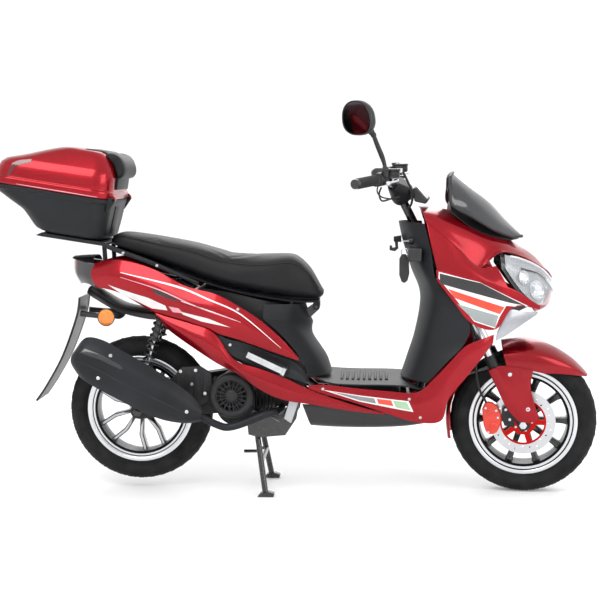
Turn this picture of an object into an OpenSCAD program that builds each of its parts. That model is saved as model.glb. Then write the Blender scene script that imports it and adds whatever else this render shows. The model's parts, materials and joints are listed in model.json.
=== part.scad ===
// Step-through motor scooter on its centre stand, with a top box.
// X points forward, Y to the rider's left, Z up. Millimetres.

/* [Wheels] */
// Distance from the front axle to the rear axle
wheelbase = 1323; // [1318:1:1328]
// Outer radius of both tyres
tyre_r = 249; // [247:0.5:250]
// Width of both tyres
tyre_w = 118; // [100:1:120]
// Radius of the rim at its flange
rim_r = 183; // [178:1:186]
// How far the stand holds the rear tyre off the ground
rear_lift = 30; // [28:1:32]

/* [Steering] */
// Angle of the steering axis from upright
rake = 27; // [26:0.5:28]
// How far the bars are turned, to the right below zero
steer_rest = -6; // [-8:1:0]
// Half of the width across the bar ends
bar_half = 345; // [335:1:355]
// Distance between the fork legs' centres
fork_gap = 164; // [160:1:168]

/* [Bodywork] */
// Thickness of the moulded panels
skin = 3; // [2.5:0.5:3.5]
// Half of the width of the floor
floor_half = 205; // [200:1:210]
// Half of the width of the top box at its rim
box_half = 200; // [190:1:205]
// Tilt of the top box's rim, front edge down
box_tilt = 9; // [8:0.5:10]

/* [Engine] */
// Radius of the fan cover
fan_r = 76; // [72:1:78]
// Radius of the silencer
silencer_r = 62; // [58:1:64]

/* [Hidden] */
$fn = 64;

front_x = 775;
front_z = tyre_r - 0.2;
rear_x = front_x - wheelbase;
rear_z = tyre_r + rear_lift;
axis_x = 738;
swing_pivot = [-150, 0, 262];
stand_pivot = [-140, 0, 220];
shock_top = [-450, 0, 665];
shock_foot = [-528, 0, 400];
shock_y = 84;
shock_len = norm(shock_foot - shock_top);
shock_lean = atan2(shock_top[0] - shock_foot[0], shock_top[2] - shock_foot[2]);
seat_pivot = [62, 0, 636];
lid_pivot = [-612, 0, 1002];
fan_at = [-221, 0, 342];
peg_pivot = [-41, 196, 434];
peg_lean = 25;
bar_bend = [318, 165, 1086];
grip_out = [228, bar_half, 1075];
grip_in = bar_bend + 0.35 * (grip_out - bar_bend);
mirror_foot = [314, -212, 1114];
mirror_ball = [280, -264, 1230];
mirror_reach = 296;
lock_at = [376, -86, 866];
hook_at = [334, 0, 868];

// ---------- helpers ----------

function unit(v) = v / max(norm(v), 1e-9);

// Point on a smooth curve between b and c, which also looks at a and d.
function curve_point(a, b, c, d, t) =
  0.5 * (2 * b + (c - a) * t + (2 * a - 5 * b + 4 * c - d) * t * t + (3 * b - a - 3 * c + d) * t * t * t);

// Smooth list through the given points or rows of points, with n steps from each to the next.
function smooth(p, n) = let (last = len(p) - 1) concat(
  [for (i = [0:last - 1], k = [0:n - 1])
    curve_point(p[max(i - 1, 0)], p[i], p[i + 1], p[min(i + 2, last)], k / n)], [p[last]]);

function net(rows, n, m) = [for (row = smooth(rows, n)) smooth(row, m)];

function net_normal(g, i, j) = let (a = len(g) - 1, b = len(g[0]) - 1)
  unit(cross(g[min(i + 1, a)][j] - g[max(i - 1, 0)][j], g[i][min(j + 1, b)] - g[i][max(j - 1, 0)]));

// Adds the left half to a row that runs from the right edge to the middle.
function across(row) = concat(row, [for (k = [len(row) - 2:-1:0]) [row[k][0], -row[k][1], row[k][2]]]);

// Same, for a row that runs from the left edge to the middle.
function flip(row) = [for (p = row) [p[0], -p[1], p[2]]];

// Moulded skin: the outer face is the net g, and the wall lies t behind it.
module sheet(g, t) {
  rows = len(g);
  cols = len(g[0]);
  size = rows * cols;
  outer = [for (i = [0:rows - 1], j = [0:cols - 1]) g[i][j]];
  inner = [for (i = [0:rows - 1], j = [0:cols - 1]) g[i][j] - t * net_normal(g, i, j)];
  faces = concat(
    [for (i = [0:rows - 2], j = [0:cols - 2]) let (a = i * cols + j) each
      [[a, a + cols + 1, a + cols], [a, a + 1, a + cols + 1]]],
    [for (i = [0:rows - 2], j = [0:cols - 2]) let (a = size + i * cols + j) each
      [[a, a + cols, a + cols + 1], [a, a + cols + 1, a + 1]]],
    [for (i = [0:rows - 2]) let (a = i * cols, b = i * cols + cols - 1) each
      [[a, a + cols, a + cols + size], [a, a + cols + size, a + size],
       [b, b + cols + size, b + cols], [b, b + size, b + cols + size]]],
    [for (j = [0:cols - 2]) let (a = j, b = (rows - 1) * cols + j) each
      [[a, a + 1 + size, a + 1], [a, a + size, a + 1 + size],
       [b, b + 1, b + 1 + size], [b, b + 1 + size, b + size]]]);
  polyhedron(concat(outer, inner), faces, convexity = 8);
}

module both_sides() {
  children();
  mirror([0, 1, 0]) children();
}

// Plate with its outline in the X-Z plane, between two heights along Y.
module side_plate(outline, y0, y1) {
  translate([0, y1, 0]) rotate([90, 0, 0]) linear_extrude(y1 - y0) polygon(outline);
}

module rod(a, b, r) {
  d = b - a;
  translate(a) rotate([0, acos(d[2] / norm(d)), atan2(d[1], d[0])]) cylinder(h = norm(d), r = r);
}

// Bent tube: straight runs with a slightly larger ball at each bend.
module bent_tube(points, r) {
  for (i = [0:len(points) - 2]) rod(points[i], points[i + 1], r);
  for (i = [1:1:len(points) - 2]) translate(points[i]) sphere(r * 1.05);
}

function ring(at, dir, r, sides) = let (u = unit(cross(dir, abs(dir[1]) < 0.9 ? [0, 1, 0] : [1, 0, 0])),
  v = cross(unit(dir), u), step = 360 / sides)
  [for (k = [0:sides - 1]) at + r * (cos(step * k) * u + sin(step * k) * v)];

// Hose swept along a smooth route through hand-set points.
module hose(route, r, sides) {
  p = smooth(route, 3);
  n = len(p);
  rings = [for (i = [0:n - 1]) ring(p[i], p[min(i + 1, n - 1)] - p[max(i - 1, 0)], r, sides)];
  points = [for (row = rings, q = row) q];
  faces = concat([[for (k = [0:sides - 1]) k]], [[for (k = [sides - 1:-1:0]) (n - 1) * sides + k]],
    [for (i = [0:n - 2], k = [0:sides - 1]) let (a = i * sides + k, b = i * sides + (k + 1) % sides) each
      [[a, b + sides, b], [a, a + sides, b + sides]]]);
  polyhedron(points, faces, convexity = 8);
}

module round_box(size, r) {
  hull() for (x = [r, size[0] - r], y = [r, size[1] - r])
    translate([x, y, 0]) cylinder(h = size[2], r = r, $fn = 24);
}

// Turns a part that is drawn straight ahead about the steering axis.
module turned() {
  translate([axis_x, 0, front_z]) rotate([0, -rake, 0]) rotate([0, 0, steer_rest]) rotate([0, rake, 0])
    translate([-axis_x, 0, -front_z]) children();
}

// Puts a part that is drawn upright at the origin on the steering axis, at height z.
module on_axis(z) {
  translate([axis_x - (z - front_z) * tan(rake), 0, z]) rotate([0, -rake, 0]) children();
}

// Puts a part that is drawn upright on the line of one shock absorber, measured from its top eye.
module on_shock() {
  both_sides() translate(shock_top + [0, shock_y, 0]) rotate([0, shock_lean, 0]) children();
}

module on_wheel(x, z) {
  translate([x, 0, z]) rotate([90, 0, 0]) children();
}

module tilted_box() {
  translate(lid_pivot) rotate([0, box_tilt, 0]) children();
}

// Solid skin over rings of points, closed at both ends.
module loft(rings) {
  n = len(rings);
  sides = len(rings[0]);
  faces = concat([[for (k = [0:sides - 1]) k]], [[for (k = [sides - 1:-1:0]) (n - 1) * sides + k]],
    [for (i = [0:n - 2], k = [0:sides - 1]) let (a = i * sides + k, b = i * sides + (k + 1) % sides) each
      [[a, b + sides, b], [a, a + sides, b + sides]]]);
  polyhedron([for (row = rings, q = row) q], faces, convexity = 8);
}

function power(v, e) = sign(v) * pow(abs(v), e);

// Rounded upright ring at x, from z0 to z1, with half width w.
function hoop(s) = [for (k = [0:23]) let (a = k * 15)
  [s[0], s[1] * power(cos(a), 0.62), (s[2] + s[3]) / 2 + (s[3] - s[2]) / 2 * power(sin(a), 0.62)]];

// Outline around two circles, in the X-Z plane.
function stadium(a, ra, b, rb) = let (d = b - a, t = atan2(d[1], d[0]), s = acos((ra - rb) / norm(d))) concat(
  [for (k = [0:14]) let (q = t + s + k * (360 - 2 * s) / 14) a + ra * [cos(q), sin(q)]],
  [for (k = [0:14]) let (q = t - s + k * 2 * s / 14) b + rb * [cos(q), sin(q)]]);

// Flat plate with rounded corners, used as a slab of the top box.
module slab(x0, x1, w, z, r) {
  for (x = [x0 + r, x1 - r], y = [-w + r, w - r]) translate([x, y, z]) cylinder(h = 1, r = r, $fn = 32);
}

// ---------- frame ----------

module frame_tubes() {
  head_len = 176;
  color("#1d1e20") difference() {
    union() {
      on_axis(740) cylinder(h = head_len, r = 27);
      rod([459, 0, 800], [436, 0, 430], 19);
      translate([436, 0, 430]) sphere(20);
      both_sides() {
        bent_tube([[436, 0, 430], [415, 88, 345], [380, 108, 338], [60, 110, 338], [-60, 124, 430],
          [-170, 132, 590], [-430, 106, 716], [-664, 86, 770]], 12);
        side_plate([[-172, 264], [-166, 205], [-128, 196], [-40, 204], [-2, 262], [12, 340], [24, 372],
          [0, 380], [-22, 300], [-60, 250], [-118, 282], [-150, 290]], 112, 118);
        bent_tube([[-70, 125, 444], [-8, 50, 585], [-8, 0, 585]], 9);
        side_plate([[-12, 580], [16, 577], [38, 596], [72, 628], [72, 644], [52, 644], [-12, 600]], 20, 25);
        translate(peg_pivot) rotate([0, peg_lean, 0]) {
          for (z = [-16.5, 12.5]) translate([-9, -10, z]) cube([18, 17, 4]);
          translate([-9, -46, -16.5]) cube([18, 37, 33]);
          translate([0, 0, -16]) cylinder(h = 32, r = 4);
        }
        rod([-60, 124, 430], [-41, 152, 434], 9);
        for (y = [shock_y - 21, shock_y + 15])
          side_plate([[-468, 716], [-468, 652], [-432, 652], [-424, 716]], y, y + 6);
        side_plate([[-470, 722], [-470, 704], [-422, 704], [-422, 722]], shock_y - 21, shock_y + 21);
      }
      for (x = [82, 378]) rod([x, -104, 338], [x, 104, 338], 9);
      rod([-650, -84, 766], [-650, 84, 766], 10);
      rod([-362, -110, 684], [-362, 110, 684], 9);
    }
    on_axis(740) translate([0, 0, -1]) cylinder(h = head_len + 2, r = 19);
    on_axis(740) translate([0, 0, -1]) cylinder(h = 13, r = 24);
    on_axis(740) translate([0, 0, head_len - 12]) cylinder(h = 13, r = 24);
  }
  color("silver") {
    translate([swing_pivot[0], 118, swing_pivot[2]]) rotate([90, 0, 0]) cylinder(h = 236, r = 8);
    translate([stand_pivot[0], 118, stand_pivot[2]]) rotate([90, 0, 0]) cylinder(h = 236, r = 8);
    translate([seat_pivot[0], 40, seat_pivot[2]]) rotate([90, 0, 0]) cylinder(h = 80, r = 5);
    both_sides() translate([shock_top[0], shock_y + 21, shock_top[2]]) rotate([90, 0, 0])
      cylinder(h = 42, r = 6);
  }
}

module head_bearings() {
  color("silver") for (s = [0, 164]) on_axis(740) translate([0, 0, s]) difference() {
    cylinder(h = 12, r = 24);
    translate([0, 0, -1]) cylinder(h = 14, r = 15.05);
  }
}

// ---------- front bodywork ----------

module front_fairing() {
  hood = [
    across([[430, -150, 936], [420, -122, 968], [410, 0, 982]]),
    across([[495, -163, 882], [490, -126, 948], [488, 0, 974]]),
    across([[552, -168, 828], [566, -124, 912], [574, 0, 950]]),
    across([[606, -168, 782], [640, -116, 872], [660, 0, 909]]),
    across([[676, -148, 832], [712, -96, 850], [738, 0, 856]]),
    across([[752, -112, 818], [780, -66, 816], [806, 0, 810]]),
    across([[826, -66, 778], [850, -36, 762], [868, 0, 738]])];
  band = [
    [[468, -188, 738], [466, -186, 755], [464, -182, 774]],
    [[520, -198, 672], [521, -202, 718], [524, -196, 760]],
    [[581, -203, 600], [583, -206, 672], [588, -200, 750]],
    [[662, -196, 580], [662, -200, 652], [664, -194, 730]],
    [[722, -180, 652], [724, -180, 682], [726, -178, 708]],
    [[812, -140, 641], [813, -139, 646], [814, -138, 652]]];
  chin = [
    across([[852, -46, 700], [862, -24, 704], [866, 0, 704]]),
    across([[836, -50, 662], [846, -26, 650], [850, 0, 646]]),
    across([[800, -60, 640], [806, -30, 626], [808, 0, 622]])];
  color("#b0101c") {
    sheet(net(hood, 3, 2), skin);
    both_sides() sheet(net(band, 2, 2), skin);
    mirror([0, 1, 0]) sheet(net([for (row = chin) flip(row)], 2, 2), skin);
  }
}

module headlight() {
  lens = [
    [[694, -172, 780], [694, -166, 800], [692, -150, 824]],
    [[742, -166, 712], [746, -158, 768], [748, -120, 812]],
    [[792, -142, 664], [806, -120, 748], [812, -78, 784]],
    [[830, -104, 652], [850, -76, 708], [850, -48, 752]],
    [[848, -60, 656], [866, -40, 690], [868, -26, 726]]];
  color([0.85, 0.9, 0.95, 0.5]) both_sides() sheet(net(lens, 2, 2), 3);
}

module windscreen() {
  screen = [
    across([[516, -124, 1042], [516, -76, 1080], [528, 0, 1096]]),
    across([[520, -138, 990], [556, -96, 1038], [576, 0, 1056]]),
    across([[588, -130, 950], [622, -86, 982], [646, 0, 1000]]),
    across([[668, -104, 902], [694, -64, 922], [708, 0, 934]]),
    across([[736, -40, 876], [752, -22, 880], [764, 0, 880]])];
  color([0.1, 0.1, 0.12, 0.6]) sheet(net(screen, 3, 3), 3);
}

module leg_shield() {
  shield = [
    across([[436, -200, 400], [372, -120, 402], [352, 0, 402]]),
    across([[500, -200, 468], [410, -130, 470], [374, 0, 470]]),
    across([[560, -197, 532], [440, -140, 545], [398, 0, 545]]),
    across([[574, -196, 600], [462, -145, 640], [416, 0, 640]]),
    across([[516, -192, 672], [450, -140, 700], [414, 0, 700]]),
    across([[462, -182, 744], [416, -120, 770], [386, 0, 770]]),
    across([[446, -166, 840], [392, -100, 860], [358, 0, 860]]),
    across([[424, -146, 926], [366, -80, 930], [342, 0, 930]])];
  color("#26282b") {
    difference() {
      sheet(net(shield, 2, 2), skin);
      translate(lock_at - [20, 0, 0]) rotate([0, 90, 0]) cylinder(h = 60, r = 13.4);
    }
    translate(lock_at) rotate([0, 90, 0]) difference() {
      cylinder(h = 44, r = 13);
      translate([0, 0, -1]) cylinder(h = 21, r = 8.05);
    }
    both_sides() side_plate([[326, 860], [326, 876], [352, 880], [352, 858]], 14, 20);
    translate(hook_at + [0, 20, 0]) rotate([90, 0, 0]) cylinder(h = 40, r = 4);
  }
}

module indicators() {
  front = [
    [[664, -186, 540], [664, -188, 556], [668, -186, 572]],
    [[700, -184, 560], [698, -186, 600], [704, -180, 640]],
    [[752, -168, 594], [752, -168, 616], [756, -164, 636]],
    [[800, -140, 622], [804, -138, 628], [806, -136, 634]]];
  color("orange") both_sides() {
    sheet(net(front, 2, 2), 3);
    translate([-651, 118, 604]) rotate([90, 0, 0]) cylinder(h = 12, r = 28);
  }
}

module floor_panels() {
  panel = [
    [[42, -197, 376], [42, -200, 382], [42, -200, 388]],
    [[100, -200, 358], [100, -206, 374], [100, -204, 391]],
    [[200, -202, 330], [200, -211, 356], [200, -207, 381]],
    [[304, -203, 296], [304, -214, 338], [304, -210, 373]],
    [[400, -202, 268], [400, -214, 320], [402, -208, 369]],
    [[484, -198, 272], [478, -210, 342], [456, -206, 411]],
    [[510, -196, 346], [508, -206, 404], [506, -203, 464]],
    [[572, -190, 424], [566, -200, 476], [562, -199, 522]],
    [[620, -184, 484], [618, -192, 516], [614, -190, 545]],
    [[656, -174, 532], [657, -176, 546], [658, -175, 560]]];
  color("#b0101c") both_sides() sheet(net(panel, 2, 2), skin);
}

module floorboard() {
  h = floor_half;
  color("#2a2c2f") {
    side_plate([[120, 392], [180, 389], [350, 390], [350, 394], [180, 393], [120, 396]], -h + 6, h - 6);
    both_sides() side_plate([[64, 404], [124, 391.9], [124, 395.7], [66, 408]], 100, h - 18);
    both_sides() side_plate([[344, 391], [400, 374], [402, 378], [346, 393.6]], 132, h - 12);
    for (x = [150:40:310]) side_plate([[x, 391], [x + 18, 391], [x + 16, 398], [x + 2, 398]], -90, 90);
    difference() {
      side_plate([[14, 318], [38, 272], [50, 242], [232, 238], [376, 244], [468, 260], [472, 300],
        [300, 316], [110, 330]], -192, 192);
      side_plate([[34, 340], [56, 275], [56, 245], [232, 241], [376, 247], [465, 263], [470, 340]],
        -189, 189);
      translate([0, -110, 338]) rotate([0, 90, 0]) cylinder(h = 500, r = 15);
      translate([0, 110, 338]) rotate([0, 90, 0]) cylinder(h = 500, r = 15);
    }
  }
}

// ---------- rear bodywork ----------

module seat_column() {
  face = [for (row = [
    [[46, -180, 411], [102, -90, 411], [116, 0, 411]],
    [[16, -172, 476], [72, -104, 470], [98, 0, 466]],
    [[-52, -168, 556], [20, -104, 546], [50, 0, 540]],
    [[-112, -160, 606], [-24, -108, 596], [50, 0, 586]]]) across(flip(row))];
  color("#26282b") sheet(net(face, 3, 3), skin);
}

module side_covers() {
  upper = [
    [[-692, -92, 706], [-704, -100, 744], [-706, -84, 784]],
    [[-600, -126, 688], [-602, -146, 746], [-600, -122, 804]],
    [[-484, -146, 626], [-482, -168, 700], [-480, -144, 770]],
    [[-371, -160, 588], [-371, -182, 655], [-371, -158, 716]],
    [[-268, -172, 558], [-270, -188, 628], [-270, -168, 690]],
    [[-188, -176, 536], [-190, -192, 598], [-192, -174, 650]],
    [[-110, -180, 508], [-112, -192, 558], [-120, -180, 604]],
    [[-42, -184, 486], [-44, -190, 516], [-50, -184, 544]],
    [[8, -187, 470], [9, -187, 474], [10, -187, 478]]];
  recess = [
    [[-262, -170, 540], [-262, -170, 546], [-262, -169, 551]],
    [[-226, -176, 492], [-226, -174, 514], [-226, -172, 538]],
    [[-170, -182, 466], [-170, -166, 492], [-170, -174, 524]],
    [[-80, -188, 432], [-80, -168, 462], [-80, -176, 490]],
    [[4, -192, 406], [2, -178, 432], [2, -180, 460]],
    [[36, -194, 392], [34, -188, 406], [32, -186, 424]]];
  lower = [
    [[-470, -150, 610], [-474, -154, 617], [-478, -152, 624]],
    [[-430, -156, 566], [-430, -168, 590], [-430, -160, 610]],
    [[-350, -166, 510], [-352, -184, 552], [-356, -170, 590]],
    [[-264, -176, 456], [-270, -194, 510], [-276, -178, 560]],
    [[-200, -182, 424], [-202, -198, 448], [-206, -186, 472]],
    [[-120, -186, 370], [-118, -202, 406], [-114, -192, 440]],
    [[-40, -190, 337], [-38, -204, 374], [-34, -196, 411]],
    [[60, -194, 322], [60, -206, 346], [60, -198, 368]],
    [[180, -196, 302], [180, -206, 315], [180, -201, 328]],
    [[296, -200, 292], [296, -203, 294], [296, -202, 296]]];
  both_sides() {
    color("#b0101c") sheet(net(upper, 2, 3), skin);
    color("#26282b") difference() {
      sheet(net(recess, 2, 2), skin);
      translate([peg_pivot[0], 16 - peg_pivot[1], peg_pivot[2]]) sphere(34, $fn = 32);
    }
    color("#b0101c") sheet(net(lower, 2, 2), skin);
  }
}

module tail_light() {
  lens = [
    across([[-712, -86, 724], [-744, -60, 715], [-758, 0, 711]]),
    across([[-722, -88, 756], [-762, -62, 752], [-778, 0, 752]]),
    across([[-722, -84, 790], [-762, -60, 798], [-780, 0, 802]])];
  color("#7a0a10") sheet(net(lens, 2, 2), 4);
  color("#26282b") side_plate([[-700, 792], [-700, 788], [-772, 804], [-772, 808]], -70, 70);
}

module rear_mudguard() {
  guard = [
    across([[-722, -80, 686], [-722, -50, 700], [-722, 0, 704]]),
    across([[-690, -88, 664], [-690, -66, 684], [-690, 0, 690]]),
    across([[-610, -94, 622], [-610, -72, 640], [-610, 0, 646]]),
    across([[-520, -62, 594], [-520, -58, 620], [-520, 0, 626]]),
    across([[-440, -62, 590], [-440, -56, 610], [-440, 0, 616]])];
  flap = [[-736, 664], [-742, 560], [-790, 445], [-850, 336], [-884, 310], [-906, 312], [-812, 470],
    [-764, 600], [-752, 668]];
  color("#202124") {
    sheet(net(guard, 2, 2), skin);
    side_plate(flap, -86, 86);
    both_sides() bent_tube([[-744, 70, 610], [-651, 98, 604]], 8);
    both_sides() translate([-651, 106, 604]) rotate([90, 0, 0]) cylinder(h = 12, r = 12);
  }
}

module luggage_rack() {
  color("#303234") {
    difference() {
      side_plate([[-882, 884], [-862, 894], [-664, 862], [-648, 858], [-648, 846], [-864, 880]], -148, 148);
      for (y = [-100:50:100]) translate([-760, y, 860]) cube([150, 24, 90], center = true);
      for (x = [-850, -668], y = [-75, 75]) translate([x, y, 800]) cylinder(h = 120, r = 4.2, $fn = 32);
    }
    both_sides() side_plate([[-648, 858], [-610, 842], [-480, 800], [-400, 762], [-330, 730], [-326, 718],
      [-400, 742], [-480, 776], [-600, 818], [-648, 846]], 136, 148);
    both_sides() rod([-656, 86, 783], [-660, 86, 852], 8);
  }
}

module helmet_bucket() {
  color("#2e3033") difference() {
    side_plate([[-338, 704], [-336, 490], [-300, 474], [-90, 470], [-40, 560], [-24, 644], [-120, 664],
      [-230, 690]], -98, 98);
    side_plate([[-334, 720], [-332, 492], [-299, 478], [-92, 474], [-44, 561], [-27, 660], [-120, 690]],
      -94, 94);
  }
}

module fuel_tank() {
  color("#3a3c40") {
    translate([150, -88, 250]) round_box([200, 176, 126], 18);
    translate([250, 0, 376]) cylinder(h = 10, r = 20);
  }
}

module battery() {
  color("#151515") translate([100, -55, 252]) cube([40, 110, 110]);
}

// ---------- top box ----------

module box_base() {
  w = box_half;
  knuckle = [[-20, -40], [-20, 8], [-7, 8], [2, 6], [6, 0], [2, -6], [-14, -40]];
  tilted_box() color("#232427") {
    difference() {
      union() {
        hull() {
          slab(-230, -30, w - 50, -141, 50);
          slab(-264, -16, w - 34, -125, 55);
          slab(-310, -13, w - 14, -73, 60);
          slab(-412, -8, w - 2, -1, 70);
        }
        both_sides() for (y = [146, 164]) side_plate(knuckle, y, y + 6);
      }
      hull() {
        slab(-226, -34, w - 54, -138, 46);
        slab(-260, -20, w - 38, -122, 51);
        slab(-306, -17, w - 18, -70, 56);
        slab(-408, -22, w - 6, 1, 60);
      }
    }
    both_sides() translate([0, 170, 0]) rotate([90, 0, 0]) cylinder(h = 24, r = 3);
  }
}

module lid_form(w) {
  hull() {
    slab(-416, -8, w + 3, 0.5, 72);
    slab(-416, -8, w + 3, 24, 72);
    slab(-392, -12, w - 6, 82, 66);
    slab(-330, -20, w - 22, 102, 60);
    slab(-200, -60, w - 60, 152, 40);
  }
}

module box_lid() {
  w = box_half;
  tilted_box() color("#b0101c") {
    difference() {
      lid_form(w);
      hull() {
        slab(-412, -22, w - 1, -1, 68);
        slab(-412, -22, w - 1, 24, 68);
        slab(-388, -22, w - 10, 79, 62);
        slab(-328, -26, w - 26, 98, 56);
        slab(-198, -64, w - 64, 148, 36);
      }
      both_sides() translate([-22, 143, -2]) cube([30, 30, 12]);
    }
    both_sides() difference() {
      side_plate([[-30, 11], [-30, 16], [-4, 16], [6, 6], [6, -2], [0, -6], [-6, -2], [-6, 8], [-10, 11]],
        153, 163);
      translate([0, 164, 0]) rotate([90, 0, 0]) cylinder(h = 12, r = 3.05);
    }
  }
}

module box_pad() {
  tilted_box() color("#141414") difference() {
    hull() for (y = [-118, 118]) {
      translate([-60, y, 146]) sphere(14, $fn = 24);
      translate([0, y, 84]) sphere(12, $fn = 24);
      translate([6, y, 100]) sphere(12, $fn = 24);
      translate([-18, y, 140]) sphere(14, $fn = 24);
    }
    translate([0.8, 0, 0.8]) lid_form(box_half);
  }
}

// ---------- steering ----------

module steering_stem() {
  turned() color("#1d1e20") {
    on_axis(600) difference() {
      union() {
        cylinder(h = 462, r = 15);
        linear_extrude(30) polygon([[-26, -30], [18, -106], [56, -106], [40, -30], [40, 30], [56, 106],
          [18, 106], [-26, 30]]);
      }
      both_sides() translate([33, fork_gap / 2, -1]) cylinder(h = 32, r = 15.02);
    }
    difference() {
      translate([327, -22, 1012]) cube([30, 44, 28]);
      translate([342, 40, 1030]) rotate([90, 0, 0]) cylinder(h = 80, r = 11.02);
      on_axis(990) translate([0, 0, -40]) cylinder(h = 79, r = 15.01);
    }
  }
}

module fork_tubes() {
  turned() color("silver") both_sides() on_axis(600) translate([33, fork_gap / 2, -300])
    cylinder(h = 329, r = 15);
}

module handlebar() {
  turned() color("#1d1e20") {
    both_sides() bent_tube([[342, 0, 1030], [342, 48, 1030], bar_bend, grip_out], 11);
    both_sides() rod(grip_in + (grip_out - grip_in) * 0.89, grip_out, 16);
  }
}

module cover_form(s) {
  hull() {
    both_sides() translate([332, 92, 1052]) sphere(20 - s, $fn = 24);
    both_sides() translate([366, 62, 1036]) sphere(20 - s, $fn = 24);
    translate([344, 0, 1056]) sphere(24 - s, $fn = 24);
    translate([356, 0, 990]) sphere(32 - s, $fn = 24);
  }
}

module handlebar_cover() {
  turned() color("#26282b") difference() {
    cover_form(0);
    cover_form(3);
    both_sides() rod([342, 40, 1026], bar_bend + [0, 8, 4], 14);
    translate([344, 0, 950]) cube([110, 90, 110], center = true);
  }
}

module instrument_panel() {
  turned() color("#1a1b1d") side_plate([[396, 1042], [404, 1047], [422, 1026], [442, 1001], [434, 996],
    [400, 1006]], -82, 82);
}

module brake_masters() {
  bar_dir = unit(grip_in - bar_bend);
  turned() color("#202124") both_sides() difference() {
    union() {
      rod(bar_bend + 24 * bar_dir, grip_in - 2 * bar_dir, 22);
      translate([318, 162, 1086]) cube([40, 34, 32]);
      translate([322, 164, 1068]) cube([30, 34, 8]);
      translate([314, 212, 1090]) cylinder(h = 23.6, r = 11);
      translate([339, 188, 1068]) cylinder(h = 24, r = 4);
    }
    rod(bar_bend - 2 * bar_dir, grip_in + 6 * bar_dir, 11.03);
    translate(bar_bend) sphere(14);
    translate([316, 160, 1076.2]) cube([60, 60, 9.6]);
    translate([314, 212, 1098]) cylinder(h = 20, r = 4.05);
    translate([268, 207, 1088]) rotate([0, 90, 0]) cylinder(h = 15, r = 5.05);
  }
  turned() color("silver") both_sides() translate([339, 188, 1076]) cylinder(h = 10, r = 4);
}

module grip(bore, flange) {
  length = norm(grip_out - grip_in) * 0.89 - 3;
  d = grip_out - grip_in;
  translate(grip_in) rotate([0, acos(d[2] / norm(d)), atan2(d[1], d[0])]) difference() {
    translate([0, 0, 1.5]) {
      cylinder(h = length, r = 17);
      for (z = [16:8:length - 10]) translate([0, 0, z]) cylinder(h = 4, r = 17.8);
      cylinder(h = 5, r = flange);
    }
    cylinder(h = length + 3, r = bore);
  }
}

module left_grip() {
  turned() color("#151515") grip(11.02, 21);
}

module throttle_grip() {
  turned() color("#151515") mirror([0, 1, 0]) grip(11.05, 21);
}

module brake_lever() {
  color("silver") difference() {
    union() {
      translate([339, 188, 1076.5]) cylinder(h = 9, r = 10);
      bent_tube([[339, 188, 1081], [356, 214, 1081], [356, 276, 1080], [334, 330, 1077]], 4.2);
      translate([334, 330, 1077]) sphere(8);
    }
    translate([339, 188, 1070]) cylinder(h = 20, r = 4.05);
  }
}

module right_brake_lever() {
  turned() mirror([0, 1, 0]) brake_lever();
}

module left_brake_lever() {
  turned() brake_lever();
}

module button() {
  translate([267, 207, 1088]) rotate([0, 90, 0]) cylinder(h = 12, r = 5);
}

module starter_button() {
  turned() color("gold") mirror([0, 1, 0]) button();
}

module horn_button() {
  turned() color("gold") button();
}

module mirror_stem() {
  turned() color("#1a1b1d") {
    translate(mirror_foot - [0, 0, 14]) cylinder(h = 14, r = 4);
    translate(mirror_foot) cylinder(h = 12, r = 9);
    bent_tube([mirror_foot + [0, 0, 8], [304, -226, 1160], [292, -246, 1194], mirror_ball], 7);
    translate(mirror_ball) sphere(10);
  }
}

module mirror_head() {
  turned() color("#1a1b1d") difference() {
    translate([236, -mirror_reach, 1286]) rotate([0, 0, 46]) rotate([0, -6, 0]) difference() {
      scale([34, 74, 59]) sphere(1, $fn = 96);
      translate([-140, -100, -100]) cube([128, 200, 200]);
    }
    translate(mirror_ball) sphere(10.6);
    translate(mirror_ball) rod([0, 0, 0], [30, 60, -86], 10);
  }
}

module control_cables() {
  brake_line = [[362, -186, 1112], [370, -172, 1104], [384, -140, 1070], [396, -102, 1028], [390, -60, 994],
    [378, -27, 970], [390, -33, 935], [412, -40, 895], [440, -50, 848], [486, -64, 790],
    [540, -84, 730], [578, -118, 650], [602, -116, 560], [612, -100, 470], [618, -92, 400],
    [632, -88, 352], [644, -76, 330]];
  throttle_line = [[300, -196, 1056], [292, -184, 1034], [300, -166, 1010], [330, -140, 1016],
    [352, -110, 1020]];
  turned() color("#101010") {
    hose(brake_line, 4, 8);
    hose(throttle_line, 3, 8);
  }
}

// ---------- front fork and wheel ----------

module on_leg() {
  on_axis(600) translate([33, fork_gap / 2, -411]) children();
}

module fork_legs() {
  turned() color("#1d1e20") {
    both_sides() difference() {
      on_leg() difference() {
        translate([0, 0, -20]) cylinder(h = 281, r = 19.5);
        translate([0, 0, 22]) cylinder(h = 260, r = 15.06);
      }
      translate([front_x, 130, front_z]) rotate([90, 0, 0]) cylinder(h = 100, r = 8.02);
    }
    difference() {
      side_plate([[703, 300], [718, 306], [746, 272], [746, 236], [712, 240], [704, 262]], -78, -70);
      on_leg_right() cylinder(h = 600, r = 15.06, center = true);
      translate([front_x, 130, front_z]) rotate([90, 0, 0]) cylinder(h = 260, r = 8.02);
    }
  }
}

module on_leg_right() {
  mirror([0, 1, 0]) on_leg() children();
}

module front_axle() {
  turned() on_wheel(front_x, front_z) color("silver") {
    translate([0, 0, -108]) cylinder(h = 216, r = 8);
    for (z = [102, -110]) translate([0, 0, z]) cylinder(h = 8, r = 13, $fn = 6);
    for (z = [49, -62]) translate([0, 0, z]) cylinder(h = 13, r = 12);
  }
}

function guard_point(r, a, y) = [front_x + r * cos(a), y, front_z + r * sin(a)];

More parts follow.
